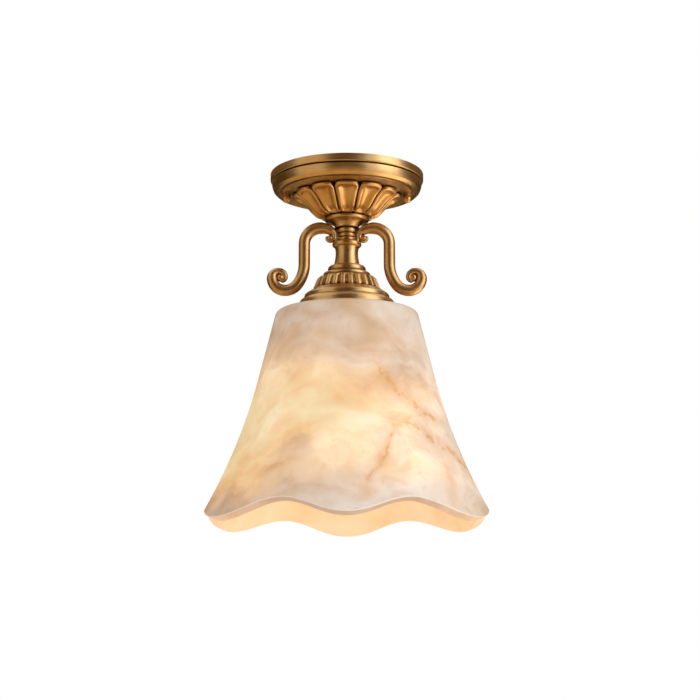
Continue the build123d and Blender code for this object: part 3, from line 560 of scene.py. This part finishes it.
base_r, base_bead, base_ring_r, base_ring = 13.9, 5.4, 17.4, 3.2
base_z = column_z - base_bead - base_ring
turn("stem_base", "turned", brushed_brass, (
    [(stem_bore_r, column_z, 0)] + half_round(base_r, column_z, base_bead)
    + half_round(base_ring_r, column_z - base_bead, base_ring) + [(stem_bore_r, base_z, 0)]
), around=160)


# Gadroon ring: a flared cast band of twenty-four rounded lobes with dark grooves between them.
# It is clamped in the stem between the base and the shade fitter.
gadroon_count, gadroon_columns, gadroon_depth = 24, 16, 2.6
gadroon_z, gadroon_foot_z = base_z - 8.2, base_z - 9.5
gadroon_core_r, gadroon_seat_r, gadroon_foot_r = 12.0, 21.0, 24.1
gadroon_crests = [
    (18.4, 0), (20.3, 0.4), (21.5, 1.3), (22.0, 2.2), (22.6, 3.8), (23.2, 5.2), (23.8, 6.7), (24.3, 8.0),
    (24.5, 9.0),
]


def lobed(r, z, angle):
    """Draws the ring's face in between its lobes, least at the top and most at the foot."""
    if r < gadroon_core_r:
        return r, z
    across = (angle * gadroon_count / (2 * pi)) % 1 * 2 - 1
    drop = base_z - z
    top_share, foot_extra, crown, groove_start = 0.3, 0.4, 0.25, 0.3
    share = top_share + (1 - top_share) * smooth_step(-0.1, 1.9, drop)
    share += foot_extra * smooth_step(7.4, 9.5, drop)
    lobe = crown * across ** 2 + (1 - crown) * smooth_step(groove_start, 1, abs(across))
    return r - gadroon_depth * share * lobe, z


turn("gadroon_ring", "cast", cast_brass, (
    [(stem_bore_r, base_z, 0)] + [(r, base_z - drop, 0) for r, drop in gadroon_crests]
    + [(gadroon_foot_r, gadroon_foot_z, 0.3), (gadroon_seat_r, gadroon_foot_z, 0.1)]
    + [(gadroon_seat_r, gadroon_z, 0.1), (stem_bore_r, gadroon_z, 0)]
), around=gadroon_count * gadroon_columns, shape=lobed)


# Shade fitter: a spun and turned stepped disc, hollow below for the lampholder's cap.
# Its wide rim bears on the shade through a gasket.
disc_top_z, rim_top_z, fitter_z = gadroon_z - 4.6, gadroon_z - 8.7, gadroon_z - 16.6
seat_r, seat_z, shoulder_r = 20.9, gadroon_foot_z - 0.1, 24.9
disc_r, rim_cove_r, rim_cove_z, rim_bow, fitter_r = 31.0, 32.1, rim_top_z - 3.6, 0.7, 35.0
fitter_cavity_r, fitter_roof_z = 20.5, gadroon_z - 3.6
turn("shade_fitter", "turned", brushed_brass, (
    [(stem_bore_r, gadroon_z, 0), (seat_r, gadroon_z, 0.1), (seat_r, seat_z, 0.1), (shoulder_r, seat_z, 0.2)]
    + [(disc_r - 0.8, disc_top_z - 0.2, 0.4), (disc_r, disc_top_z - 1.2, 0.4), (disc_r, rim_top_z + 0.4, 0.2)]
    + [(disc_r - 0.6, rim_top_z, 0.1), (rim_cove_r, rim_top_z, 0.3)]
    + bowed((rim_cove_r, rim_top_z), (fitter_r, rim_cove_z), rim_bow)
    + [(fitter_r, rim_cove_z, 0.3), (fitter_r, fitter_z, 0.4), (fitter_cavity_r, fitter_z, 0.3)]
    + [(fitter_cavity_r, fitter_roof_z, 0.5), (stem_bore_r, fitter_roof_z, 0)]
), around=224)


# Scroll arms: two cast brass S-scrolls, a tapering round bar that coils round a ball eye at each end.
# Each is pinned into the stem's neck by the back of its upper coil.
# An arc of its path has a radius, a turn in degrees and the bar's radius at its end.
pin_z = collar_z - 6.0
sweep = radians(35)
sweep_r, coil_r = 15.1, 4.0
upper_arcs = [(sweep_r, 35, 3.2), (coil_r, 55, 1.9), (3.5, 90, 1.75), (2.0, 90, 1.45)]
lower_arcs = [
    (25.9, 35, 4.2), (11.5, 55, 4.2), (9.4, 90, 3.9), (5.0, 90, 2.5), (4.5, 90, 2.1), (2.6, 70, 1.8),
]
curl_x = 8.9
crest = Vector((
    curl_x + sweep_r * sin(sweep) + coil_r * (1 - sin(sweep)),
    pin_z + sweep_r * (1 - cos(sweep)) + coil_r * cos(sweep),
))
crest_tube_r, run_tube_r = 4.4, 4.2
shoulder_radius, run_length, run_steps = 11.9, 15.2, 24
upper_eye_r, lower_eye_r, lower_eye_shift = 2.1, 2.9, Vector((0.9, -0.5))
boss_r, boss_start_x, lug_half_height = 1.4, 5.9, 5.6


def swung(arm, angle):
    """A direction turned by an angle."""
    return Vector((arm.x * cos(angle) - arm.y * sin(angle), arm.x * sin(angle) + arm.y * cos(angle)))


def follow(spot, heading, tube, arcs, spacing=0.6):
    """Points with heading and tube radius along arcs that turn left, and the last arc's centre."""
    path = []
    for radius, degrees, end_tube in arcs:
        centre = spot + Vector((-heading.y, heading.x)) * radius
        steps = max(6, round(radians(degrees) * abs(radius) / spacing))
        arm = spot - centre
        way = 1 if radius > 0 else -1
        for step in range(1, steps + 1):
            share = step / steps
            angle = way * radians(degrees) * share
            path.append((centre + swung(arm, angle), swung(heading, angle), tube + (end_tube - tube) * share))
        spot, heading, tube = path[-1]
    return path, centre


upper_path, upper_eye = follow(crest, Vector((-1, 0)), crest_tube_r, upper_arcs)
shoulder_path, _ = follow(crest, Vector((1, 0)), crest_tube_r, [(-shoulder_radius, 90, run_tube_r)])
run_start, down, _ = shoulder_path[-1]
run_path = [
    (run_start + down * run_length * step / run_steps, down, run_tube_r) for step in range(1, run_steps + 1)
]
lower_path, lower_eye = follow(run_path[-1][0], down, run_tube_r, lower_arcs)
arm_path = [(spot, -heading, tube) for spot, heading, tube in reversed(upper_path)]
arm_path += [(crest, Vector((1, 0)), crest_tube_r)] + shoulder_path + run_path + lower_path


def rounded_end(station, way, steps=6):
    """Stations in from the tip of the bar's end that round it off; way is -1 at its start."""
    spot, heading, tube = station
    leans = [pi / 2 * step / steps for step in range(steps)]
    return [(spot + heading * way * tube * cos(lean), heading, tube * sin(lean)) for lean in leans]


def skin(shaped, rings):
    """Joins rings of points in millimetres into a tube, and gives the corners of its last ring."""
    circles = [[shaped.verts.new(Vector(point) * mm) for point in ring] for ring in rings]
    for near, far in zip(circles, circles[1:]):
        for side in range(len(near)):
            beside = (side + 1) % len(near)
            shaped.faces.new((near[side], near[beside], far[beside], far[side]))
    return circles[-1]


def scroll_arm(name, sign, sides=28):
    """One scroll: the bar with rounded ends, the ball eye in each coil and the lug to the neck."""
    shaped = bmesh.new()
    angles = [2 * pi * side / sides for side in range(sides)]
    stations = rounded_end(arm_path[0], -1) + arm_path + rounded_end(arm_path[-1], 1)[::-1]
    rings = []
    for spot, heading, tube in stations:
        leans = [(tube * cos(angle), tube * sin(angle)) for angle in angles]
        rings.append([
            (sign * (spot.x - heading.y * lean), aside, spot.y + heading.x * lean) for lean, aside in leans
        ])
    skin(shaped, rings)
    for centre, eye_r in ((upper_eye, upper_eye_r), (lower_eye + lower_eye_shift, lower_eye_r)):
        eye = bmesh.ops.create_uvsphere(shaped, u_segments=28, v_segments=16, radius=eye_r * mm)
        for vert in eye["verts"]:
            vert.co += Vector((sign * centre.x, 0, centre.y)) * mm
    lug = []
    for x, share in ((boss_start_x, 0.05), (boss_start_x, 0.85), (boss_start_x + 0.2, 1.0), (curl_x, 1.1)):
        lug.append([
            (sign * x, boss_r * share * cos(angle), pin_z + lug_half_height * share * sin(angle))
            for angle in angles
        ])
    shaped.faces.new(skin(shaped, lug))
    return set_down(name, shaped)


for side, sign in (("left", -1), ("right", 1)):
    fit(scroll_arm(f"scroll_arm_{side}_cast", sign), f"scroll_arm_{side}", cast_brass)
coat(brushed_brass, "arm_pins")


# Alabaster shade: a bell turned from one block of stone, 7 mm thick, with its rim cut in six waves.
# The hole in its roof slips over the lampholder, and the shade ring clamps it from inside.
shade_z, roof_z = fitter_z - 1.0, fitter_z - 9.0
shade_top_r, shade_edge_r, shade_wall, shade_hole_r = 51.3, 4.5, 7.0, 20.5
slope, straight_drop = radians(14.1), 50.3
wall_down = Vector((sin(slope), -cos(slope)))
wall_out = Vector((cos(slope), sin(slope)))
outer_waist = Vector((shade_top_r, shade_z)) + wall_down * straight_drop / cos(slope)
flare_radius = 395.0
flare_centre = outer_waist + wall_out * flare_radius
rim_low_z = shade_z - 156.0
scallop_count, scallop_rise, scallop_tilt = 6, 10.6, tan(radians(22))
scallop_extra, scallop_crowding = 3.2, radians(48)


def wall_point(depth, z):
    """Radius of the bell's wall at a height, depth millimetres in from its face."""
    waist = outer_waist - wall_out * depth
    if z >= waist.y:
        return waist.x + (waist.y - z) * tan(slope)
    radius = flare_radius + depth
    return flare_centre.x - sqrt(radius ** 2 - (flare_centre.y - z) ** 2)


rim_r = wall_point(shade_wall, rim_low_z)


def rim_height(r, angle):
    """Height of the waved rim cut at a radius and an angle; hand cutting crowds the front waves a little."""
    from_front = angle + pi / 2
    crowding = scallop_crowding * sin(from_front) * max(cos(from_front), 0)
    rise = scallop_rise + scallop_extra * cos(from_front) ** 2
    wave = rise / 2 * (1 - cos(scallop_count * from_front + crowding))
    return rim_low_z + wave + (r - rim_r) * scallop_tilt


def rim_on(depth, angle, rounds=20):
    """Where the rim cut meets the wall's face at that depth."""
    z = rim_low_z
    for _ in range(rounds):
        z = rim_height(wall_point(depth, z), angle)
    return Vector((wall_point(depth, z), z))


shade_around, outer_rows, inner_rows = 384, 96, 60
outer_easing, inner_easing = 1.3, 0.8
edge_top_r = shade_top_r - shade_edge_r * tan((pi / 2 - slope) / 2)
roof_rows, hole_row, top_edge_steps = (30.0, 40.0), 3.0, 8
hole_easing = ((0, 0.6), (0.2, 0.2), (0.6, 0))
shade_top = [(shade_hole_r + back, shade_z - drop) for back, drop in hole_easing]
shade_top += [(r, shade_z) for r in roof_rows] + [(edge_top_r - 0.3, shade_z)]
for step in range(top_edge_steps + 1):
    lean = (pi / 2 - slope) * step / top_edge_steps
    shade_top.append((edge_top_r + shade_edge_r * sin(lean), shade_z - shade_edge_r * (1 - cos(lean))))
start_z = shade_top[-1][1]
shade_roof = [(roof_rows[0], roof_z)]
shade_roof += [(shade_hole_r + back, roof_z + drop) for back, drop in reversed(hole_easing)]
shade_roof.append((shade_hole_r, roof_z + hole_row))
shade_loops = []
for column in range(shade_around):
    angle = 2 * pi * column / shade_around
    outer_rim, inner_rim = rim_on(0, angle), rim_on(shade_wall, angle)
    loop = list(shade_top)
    for row in range(1, outer_rows + 1):
        z = start_z + (outer_rim.y + outer_easing - start_z) * row / outer_rows
        loop.append((wall_point(0, z), z))
    face_end, cut = Vector(loop[-1]), inner_rim - outer_rim
    cut_start = outer_rim + cut.normalized() * outer_easing
    cut_end = inner_rim - cut.normalized() * inner_easing
    inner_start = Vector((wall_point(shade_wall, inner_rim.y + inner_easing), inner_rim.y + inner_easing))
    loop += rounding(face_end, outer_rim, cut_start, steps=6)[1:]
    loop += [cut_start + (cut_end - cut_start) * t for t in (0.1, 0.5, 0.9)]
    loop += rounding(cut_end, inner_rim, inner_start, steps=5)
    for row in range(1, inner_rows + 1):
        z = inner_start.y + (roof_z - inner_start.y) * row / inner_rows
        loop.append((wall_point(shade_wall, z), z))
    shade_loops.append([(r * cos(angle), r * sin(angle), z) for r, z in loop + shade_roof])
alabaster_shade = closed_mesh("alabaster_bell", shade_loops)


def bent(tree, place_mm, patch_mm, reach_mm, detail, roughness=0.5):
    """A place that noise pushes about, by up to half of reach_mm each way."""
    push = noise(tree, place_mm, patch_mm, detail, roughness, output="Color")
    even = vectors(tree, "ADD", push, (-0.5, -0.5, -0.5))[0]
    return vectors(tree, "MULTIPLY_ADD", even, (reach_mm, reach_mm, reach_mm), place_mm)[0]


# Lit alabaster: a milky stone with soft drifts of tan and white, amber veins along old cracks,
# a honed face with little gloss, and a painted glow: emission in the stone standing in for the bulb's warm
# light soaking through.
lit_alabaster, tree, shader, place_mm = new_finish("lit_alabaster")
warp_mm, drift_mm, mottle_mm, fleck_mm, grain_mm = 55.0, 38.0, 16.0, 6.0, 1.6
warped = bent(tree, place_mm, warp_mm, reach_mm=45, detail=2.0)
bedding = add_node(
    tree, "Mapping", {"Vector": warped, "Rotation": (0, radians(-38), 0), "Scale": (0.6, 1, 1.2)}
).outputs[0]
drift = noise(tree, bedding, drift_mm, detail=3.0, roughness=0.45)
mottle = noise(tree, bedding, mottle_mm, detail=4.0)
fleck = noise(tree, warped, fleck_mm, detail=4.0, roughness=0.6)
grain = noise(tree, place_mm, grain_mm, detail=3.0)
x, y, z = add_node(tree, "SeparateXYZ", {0: warped}).outputs
# Painted light: the stone's colour grows paler towards the right, the side that the key lamp lights.
painted_light_right = mapped(tree, x, (-75, 75), (-0.1, 0.1))
stone = toned(
    tree, maths(tree, "ADD", drift, painted_light_right),
    (0.28, "#D9B798"), (0.42, "#E6CDB4"), (0.54, "#EFE0D1"), (0.66, "#F4ECE2"),
)
cloud = toned(tree, mottle, (0.34, "#EAD8C6"), (0.56, "#FFFFFF"))
cloud_share = 0.55
clouded = mixed(tree, cloud_share, stone, cloud, "MULTIPLY")
flecked = mixed(tree, mapped(tree, fleck, (0.6, 0.78), (0, 0.4)), clouded, "#D9A26A")

# Each vein is a crack through the block, stained amber: the points that it passes on the front in x and z,
# and how strongly it shows. Noise bends it, and breaks it into knots.
veins = [
    ([(22, -156), (30, -166), (42, -176), (52, -184), (62, -189)], 1.0),
    ([(32, -195), (39, -192), (53, -199), (68, -209), (82, -217), (92, -228)], 0.9),
    ([(32, -195), (27, -214), (15, -234)], 0.45),
    ([(39, -192), (49, -186)], 0.5),
]
stray_mm, knot_mm, on_front_view = 9.0, 5.0, (1, 0, 1)
strayed = bent(tree, place_mm, stray_mm, reach_mm=9, detail=1.5, roughness=0.4)
flat = vectors(tree, "MULTIPLY", strayed, on_front_view)[0]
vein_distance = None
for points, strength in veins:
    for (x0, z0), (x1, z1) in zip(points, points[1:]):
        run = Vector((x1 - x0, 0, z1 - z0))
        offset = vectors(tree, "SUBTRACT", flat, (x0, 0, z0))[0]
        along = vectors(tree, "DOT_PRODUCT", offset, run / run.length_squared)["Value"]
        held = add_node(tree, "Clamp", {"Value": along}).outputs[0]
        nearest = add_node(tree, "VectorMath", {0: run, "Scale": held}, operation="SCALE").outputs[0]
        gap = vectors(tree, "DISTANCE", offset, nearest)["Value"]
        weak = maths(tree, "MULTIPLY", gap, 1 / strength)
        vein_distance = weak if vein_distance is None else maths(tree, "MINIMUM", vein_distance, weak)
front = mapped(tree, add_node(tree, "SeparateXYZ", {0: place_mm}).outputs[1], (10, -10))
knots = mapped(tree, noise(tree, place_mm, knot_mm), (0.38, 0.62), (0.42, 1.0))
core = mapped(tree, vein_distance, (4.2, 0.8), (0, 0.72), "SMOOTHSTEP")
halo = mapped(tree, vein_distance, (11, 0), (0, 0.36), "SMOOTHSTEP")
stain = maths(tree, "MAXIMUM", maths(tree, "MULTIPLY", core, knots), halo)
amber = maths(tree, "MULTIPLY", stain, front)
warped_flat = vectors(tree, "MULTIPLY", warped, on_front_view)[0]


def spot_share(tree, spot_x, spot_z, reach, strength):
    """How strongly a soft round spot of the stone shows."""
    away = vectors(tree, "DISTANCE", warped_flat, (spot_x, 0, spot_z))["Value"]
    return mapped(tree, away, (reach, 0), (0, strength), "SMOOTHSTEP")


# Stains on the front as x, z, reach, strength and colour.
stained = flecked
for *spot, colour in (
    (-42, -208, 26, 0.6, "#D09C68"), (-36, -129, 9, 0.5, "#D9A566"), (2, -111, 12, 0.4, "#D9A566"),
    (10, -240, 11, 0.5, "#D9A05C"), (26, -226, 16, 0.35, "#D9A566"),
):
    stained = mixed(tree, maths(tree, "MULTIPLY", spot_share(tree, *spot), front), stained, colour)

# The painted glow: emission in a band at the bulb's height, with brighter and dimmer painted spots as x, z,
# reach and strength.
band = toned(
    tree, mapped(tree, z, (-262, -100)),
    (0.0, "#505050"), (0.11, "#6C6C6C"), (0.22, "#ABABAB"), (0.38, "#CACACA"), (0.5, "#C6C6C6"),
    (0.6, "#B4B4B4"), (0.78, "#787878"), (0.93, "#4E4E4E"),
)
# Painted glow, brighter and dimmer in patches that follow the stone's mottle.
painted_glow_patches = mapped(tree, mottle, (0.3, 0.7), (0.72, 1.2))
glow = maths(tree, "MULTIPLY", band, painted_glow_patches)
for spot in (
    (-4, -196, 40, 0.55), (-24, -172, 34, 0.32), (-16, -222, 22, 0.3), (-64, -186, 40, 0.5),
    (50, -226, 26, 0.2), (-80, -230, 36, 0.4), (-58, -156, 36, 0.35), (-40, -206, 24, -0.2),
    (40, -150, 30, -0.2), (78, -198, 40, -0.35),
):
    glow = maths(tree, "ADD", glow, spot_share(tree, *spot))
glow_grain = mapped(tree, fleck, (0.3, 0.7), (1.1, 0.85))
glow = maths(tree, "MULTIPLY", glow, glow_grain, use_clamp=True)
glow_tone = toned(tree, glow, (0.0, "#FFA860"), (0.5, "#FFC46C"), (0.8, "#FFDC90"), (1.0, "#FFECAA"))
plug(tree, shader, {
    "Base Color": mixed(tree, amber, stained, "#D2933E"),
    "Emission Color": mixed(tree, amber, glow_tone, "#E8973A"),
    "Emission Strength": mapped(tree, glow, (0, 0.6), (0, 0.4)),
    "Roughness": mapped(tree, grain, target=(0.42, 0.58)),
    "Normal": bumped(tree, grain, strength=0.06, depth_mm=0.1),
    "IOR": 1.52,
})
fit(alabaster_shade, "alabaster_shade", lit_alabaster, slot="alabaster", body="shade")

# The wall's inner face, sawn smooth, with a painted glow: even cream emission standing in for the light of
# the bulb close by.
lit_inside = mottled(
    "lit_alabaster_inside", patch_mm=22.0, detail=6.0, tones=("#F3C088", "#FAD49F", "#FFE0B4"), gloss=0.55,
    tinted="Emission Color", sockets={"Base Color": "#C9AE8E", "Emission Strength": 0.57},
)

# The rim's sawn face: the same stone cut across, with a faint painted glow, emission that is least at the
# front.
lit_rim, tree, shader, place_mm = new_finish("lit_alabaster_rim")
rim_patch_mm = 14.0
rim_patches = noise(tree, place_mm, rim_patch_mm, detail=5.0)
rim_y = add_node(tree, "SeparateXYZ", {0: place_mm}).outputs[1]
plug(tree, shader, {
    "Base Color": toned(tree, rim_patches, (0.3, "#D2AE96"), (0.7, "#E2C9B6")),
    "Emission Color": "#F5BE8C",
    "Emission Strength": mapped(tree, rim_y, (-90, -25), (0.16, 0.7)),
    "Roughness": 0.5,
})

# The eased outer edge of the rim, polished thin, with a painted highlight: paler tones and a faint emission
# make it show as a pale line.
painted_highlight_edge = mottled(
    "lit_alabaster_edge", patch_mm=rim_patch_mm, detail=5.0, tones=("#F0E2D8", "#F8F0EC"), gloss=0.4,
    sockets={"Emission Color": "#FFE6D2", "Emission Strength": 0.12},
)
for material in (lit_inside, lit_rim, painted_highlight_edge):
    alabaster_shade.data.materials.append(material)
inside_slot, rim_slot, edge_slot = 1, 2, 3
rim_zone_z, cut_facing, edge_facing, roof_facing = rim_low_z + scallop_rise + 6, -0.55, -0.05, 0.9
outer_half, near_inside = 0.5, 0.85
for face in alabaster_shade.data.polygons:
    z = face.center.z / mm
    facing = face.normal.z
    depth_share = (wall_point(0, z) - hypot(face.center.x, face.center.y) / mm) / shade_wall
    if z < rim_zone_z and facing < cut_facing:
        face.material_index = rim_slot
    elif z < rim_zone_z and facing < edge_facing and depth_share < outer_half:
        face.material_index = edge_slot
    elif z < roof_z + 0.5 and depth_share > near_inside and facing < roof_facing:
        face.material_index = inside_slot


# Gaskets: two rings cut from sheet rubber that keep the stone off the brass and off the clamping ring.
# Sheet rubber, near black, with the dusty bloom that comes to its surface.
coat(
    mottled("cut_sheet_rubber", patch_mm=0.8, detail=3.0, tones=("#1D1B1A", "#2E2C2A"), gloss=0.8),
    "upper_gasket", "lower_gasket",
)


# Lampholder: a domed cap and a threaded body moulded in black phenolic, screwed on the tube's end.
# The body's outer thread carries the shade ring.
# Phenolic, pressed hot in a steel mould: brown black, with faint flow marks in its gloss.
black_phenolic = mottled(
    "moulded_black_phenolic", patch_mm=4.0, detail=5.0, tones=("#141210", "#26211D"), gloss=(0.25, 0.45),
    sockets={"IOR": 1.6},
)

cap_top_z, cap_flat_r, dome_r, dome_steps = fitter_roof_z, 11.5, 8.0, 8
cap_height, holder_length = 13.0, 40.0
holder_z = cap_top_z - cap_height
holder_r, holder_bore_r, holder_bottom_z = 19.5, 16.9, holder_z - holder_length
dome_z, inner_dome_r = cap_top_z - dome_r, holder_bore_r - cap_flat_r
dome_leans = [pi / 2 * step / dome_steps for step in range(1, dome_steps + 1)]
turn("lampholder_cap", "moulded", black_phenolic, (
    [(stem_bore_r, cap_top_z, 0.2), (cap_flat_r, cap_top_z, 0)]
    + [(cap_flat_r + dome_r * sin(lean), cap_top_z - dome_r * (1 - cos(lean)), 0) for lean in dome_leans]
    + [(holder_r, holder_z, 0.3), (holder_bore_r, holder_z, 0.2), (holder_bore_r, dome_z, 0)]
    + [(cap_flat_r + inner_dome_r * cos(lean), dome_z + inner_dome_r * sin(lean), 0) for lean in dome_leans]
    + [(stem_bore_r, dome_z + inner_dome_r, 0.2)]
), around=96, slot="black_phenolic")


def threaded(least_r, top_z, bottom_z, pitch, depth):
    """A shape that cuts a round thread between two heights into all that lies past a radius."""
    def cut(r, z, angle):
        if r < least_r or z > top_z or z < bottom_z:
            return r, z
        return r - depth * (1 - cos(2 * pi * z / pitch - angle)), z
    return cut


thread_steps, thread_start, thread_length, thread_lead = 128, 0.8, 38.4, 2
thread_rows = [
    (holder_r, holder_z - thread_start - thread_length * step / thread_steps, 0)
    for step in range(thread_steps + 1)
]
holder_thread = threaded(
    holder_r - 0.5, holder_z - thread_lead, holder_bottom_z + thread_lead, pitch=2.5, depth=0.3
)
turn("lampholder_body", "moulded", black_phenolic, (
    [(holder_bore_r, holder_z, 0.2), (holder_r, holder_z, 0.4)] + thread_rows
    + [(holder_r, holder_bottom_z, 0.5), (holder_bore_r, holder_bottom_z, 0.4)]
), around=96, shape=holder_thread, slot="black_phenolic")


# Shade ring: a flanged nut in the same phenolic, with eight finger notches in its edge.
# It screws up the lampholder and clamps the shade against the fitter.
ring_z = roof_z - 1.0 - slip
ring_r, ring_bore_r, ring_hub_r = 29.0, 19.8, 23.0
ring_flange_z, ring_bottom_z = roof_z - 3.6, roof_z - 7.0
notch_count, notch_r, notch_centre_r = 8, 2.5, 30.25


def notched(r, z, angle):
    """Cuts the round finger notches into the flange."""
    if r < ring_hub_r + 1:
        return r, z
    pitch = 2 * pi / notch_count
    swing = (angle + pitch / 2) % pitch - pitch / 2
    aside = notch_centre_r * sin(swing)
    if abs(aside) >= notch_r:
        return r, z
    return min(r, notch_centre_r * cos(swing) - sqrt(notch_r ** 2 - aside ** 2)), z


turn("shade_ring", "moulded", black_phenolic, [
    (ring_bore_r, ring_z, 0.2), (ring_r, ring_z, 0.3), (ring_r, ring_flange_z, 0.5),
    (ring_hub_r, ring_flange_z, 0.6), (ring_hub_r, ring_bottom_z, 0.5), (ring_bore_r, ring_bottom_z, 0.3),
], around=256, shape=notched, slot="black_phenolic", body="shade_ring")


# Socket works: a ceramic insert with two terminal screws, a pressed brass screw shell
# and a sprung contact, all held inside the lampholder's body.
# Glazed ceramic, off white, with faint specks under a smooth glaze.
coat(
    mottled("glazed_white_ceramic", patch_mm=1.5, tones=("#DDD8CC", "#EFEBE2"), gloss=0.18), "socket_insert"
)
coat(brushed_brass, "terminal_screws", "socket_shell", "centre_contact")


# Bulb: a screw-cap LED globe. A plated cap with a rolled thread, a black glass insulator and a solder
# tip, then a white tapered housing, the LED board and an opal globe that glows.
# Nickel plate on thin brass, a little hazed by handling.
nickel_plate = mottled(
    "nickel_plated_brass", patch_mm=3.0, detail=3.0, tones=("#A9A49A", "#C9C5BC"), gloss=(0.2, 0.36),
    sockets={"Metallic": 1.0},
)
cap_z, housing_z = -118.2, -141.2
cap_r, cap_shoulder_r, cap_sheet = 13.1, 9.6, 0.5
cap_steps, cap_run, cap_shoulder = 72, 19.2, 3.5
cap_drops = [cap_run * step / cap_steps for step in range(cap_steps + 1)]
rolled_thread = threaded(0, cap_z - 4.5, housing_z + 2.5, pitch=3.6, depth=0.45)
turn("bulb_cap", "rolled", nickel_plate, (
    [(cap_shoulder_r, cap_z, 0), (cap_r, cap_z - cap_shoulder, 0)]
    + [(cap_r, cap_z - cap_shoulder - 0.1 - drop, 0) for drop in cap_drops]
    + [(cap_r, housing_z, 0), (cap_r - cap_sheet, housing_z, 0)]
    + [(cap_r - cap_sheet, housing_z + 0.2 + drop, 0) for drop in cap_drops]
    + [(cap_shoulder_r - cap_sheet, cap_z, 0)]
), around=96, shape=rolled_thread, slot="nickel_cap", body="bulb")
coat(nickel_plate, "bulb_tip")

# Black glass moulded round the contact, with a faint swirl under its shine; white polycarbonate with the fine
# satin skin of its mould; and white solder mask over the board's aluminium.
for node, name, patch_mm, detail, tones, gloss in (
    ("bulb_insulator", "moulded_black_glass", 2.5, 3.0, ("#0C0C0E", "#1B1A1C"), 0.12),
    ("bulb_housing", "moulded_white_polycarbonate", 1.0, 2.0, ("#E4E0D6", "#F0EDE6"), 0.4),
    ("bulb_board", "solder_masked_aluminium", 6.0, 2.0, ("#E8E6DC", "#F5F3EA"), 0.35),
):
    coat(mottled(name, patch_mm, tones, gloss, detail), node)

# Opal polycarbonate, milky and lit from inside.
opal_globe = mottled(
    "lit_opal_polycarbonate", patch_mm=12.0, tones=("#FFE2B0", "#FFEBC8"), gloss=0.3,
    tinted="Emission Color", sockets={"Base Color": "#CFC4AE", "Emission Strength": 0.75},
)
coat(opal_globe, "bulb_globe")


# Studio: a pale floor far below and a white surround. Two soft boxes in front light the stone, and two cards
# that only reflections see light the brass. Coloured flags, seen by reflections alone, stand round the light
# and under it, as a photographer hangs cloth to shape metal.
def sheet(name, points, faces, material):
    """A flat or curved sheet of the studio."""
    mesh = bpy.data.meshes.new(name)
    mesh.from_pydata(points, [], faces)
    mesh.materials.append(material)
    return put(name, mesh)


floor_half, floor_z = 2.0, -1.1
floor_corners = [(x * floor_half, y * floor_half, floor_z) for x, y in ((-1, -1), (1, -1), (1, 1), (-1, 1))]
pale_floor, tree, shader, place_mm = new_finish("pale_floor")
plug(tree, shader, {"Base Color": "#F2F1EE", "Roughness": 0.9})
studio_floor = sheet("studio_floor", floor_corners, [(0, 1, 2, 3)], pale_floor)

flag_cloths = {}
for tint, colour in (
    ("brown", "#4A3313"), ("amber", "#D8AC62"), ("sand", "#E2D0B4"), ("tan", "#7A5C30"), ("umber", "#33220D"),
):
    flag_cloths[tint], tree, shader, place_mm = new_finish(f"{tint}_flag_cloth")
    plug(tree, shader, {
        "Base Color": "#000000", "Emission Color": colour, "Emission Strength": 1.0, "Roughness": 1.0,
    })
flag_r, flag_bottom, flag_split, flag_steps = 1.9, -1.0, 0.34, 24
flags = []
for start, end, low, high, tint in (
    (-122, -62, flag_bottom, 3.2, "brown"), (188, 238, flag_bottom, 2.0, "sand"),
    (-2, 188, flag_bottom, flag_split, "umber"), (-2, 188, flag_split, 1.3, "tan"),
):
    points, faces = [], []
    for step in range(flag_steps + 1):
        angle = radians(start + (end - start) * step / flag_steps)
        points += [(flag_r * cos(angle), flag_r * sin(angle), z) for z in (low, high)]
        if step:
            faces.append((2 * step - 2, 2 * step, 2 * step + 1, 2 * step - 1))
    flags.append((points, faces, tint))
under_r, under_z, under_sides = 1.6, floor_z + 0.05, 32
under = [2 * pi * side / under_sides for side in range(under_sides)]
under_points = [(under_r * cos(angle), under_r * sin(angle), under_z) for angle in under]
flags.append((under_points, [tuple(range(under_sides))], "amber"))
for number, (points, faces, tint) in enumerate(flags):
    flag = sheet(f"studio_flag_{number}", points, faces, flag_cloths[tint])
    flag.visible_camera = flag.visible_diffuse = flag.visible_shadow = flag.visible_transmission = False

world = bpy.data.worlds.new("white_surround")
bpy.context.scene.world = world
world.use_nodes = True
surround = world.node_tree
ray = add_node(surround, "LightPath").outputs
seen = maths(surround, "MAXIMUM", ray["Is Camera Ray"], ray["Is Glossy Ray"])
seen = maths(surround, "MAXIMUM", seen, ray["Is Transmission Ray"])
fill_strength, seen_strength = 0.55, 1.0
plug(surround, surround.nodes["Background"], {
    "Color": "#FFFFFF", "Strength": mapped(surround, seen, target=(fill_strength, seen_strength)),
})

aim = Vector((0, 0, -0.11))
for name, spot, width, tall, power, colour, lights_stone in (
    ("soft_box_right", (1.03, -0.81, 0.0), 0.65, 1.1, 6.2, "#FFF8EF", True),
    ("soft_box_left", (-1.15, -0.62, 0.0), 0.85, 1.1, 2.1, "#FFF0DE", True),
    ("gloss_card_right", (1.18, -0.57, 0.3), 0.8, 1.7, 6.2, "#FFF6EC", False),
    ("floor_card", (0.65, 0.15, -0.95), 1.0, 1.1, 6.2, "#FFEBD0", False),
):
    lamp = bpy.data.lights.new(name, "AREA")
    lamp.shape = "RECTANGLE"
    lamp.size, lamp.size_y = width, tall
    lamp.energy = power
    lamp.color = linear(colour)[:3]
    box = put(name, lamp)
    box.location = spot
    box.rotation_euler = (aim - Vector(spot)).to_track_quat("-Z", "Y").to_euler()
    box.visible_glossy = not lights_stone
    box.visible_diffuse = lights_stone

lens = bpy.data.cameras.new("camera")
lens.lens = 83.5
lens.sensor_width = 36.0
camera = put("camera", lens)
camera.location = (0.0023, -1.157, -0.347)
camera.rotation_euler = (radians(90 + 10.56), 0, 0)
bpy.context.scene.camera = camera
bpy.context.scene.view_settings.view_transform = "Standard"
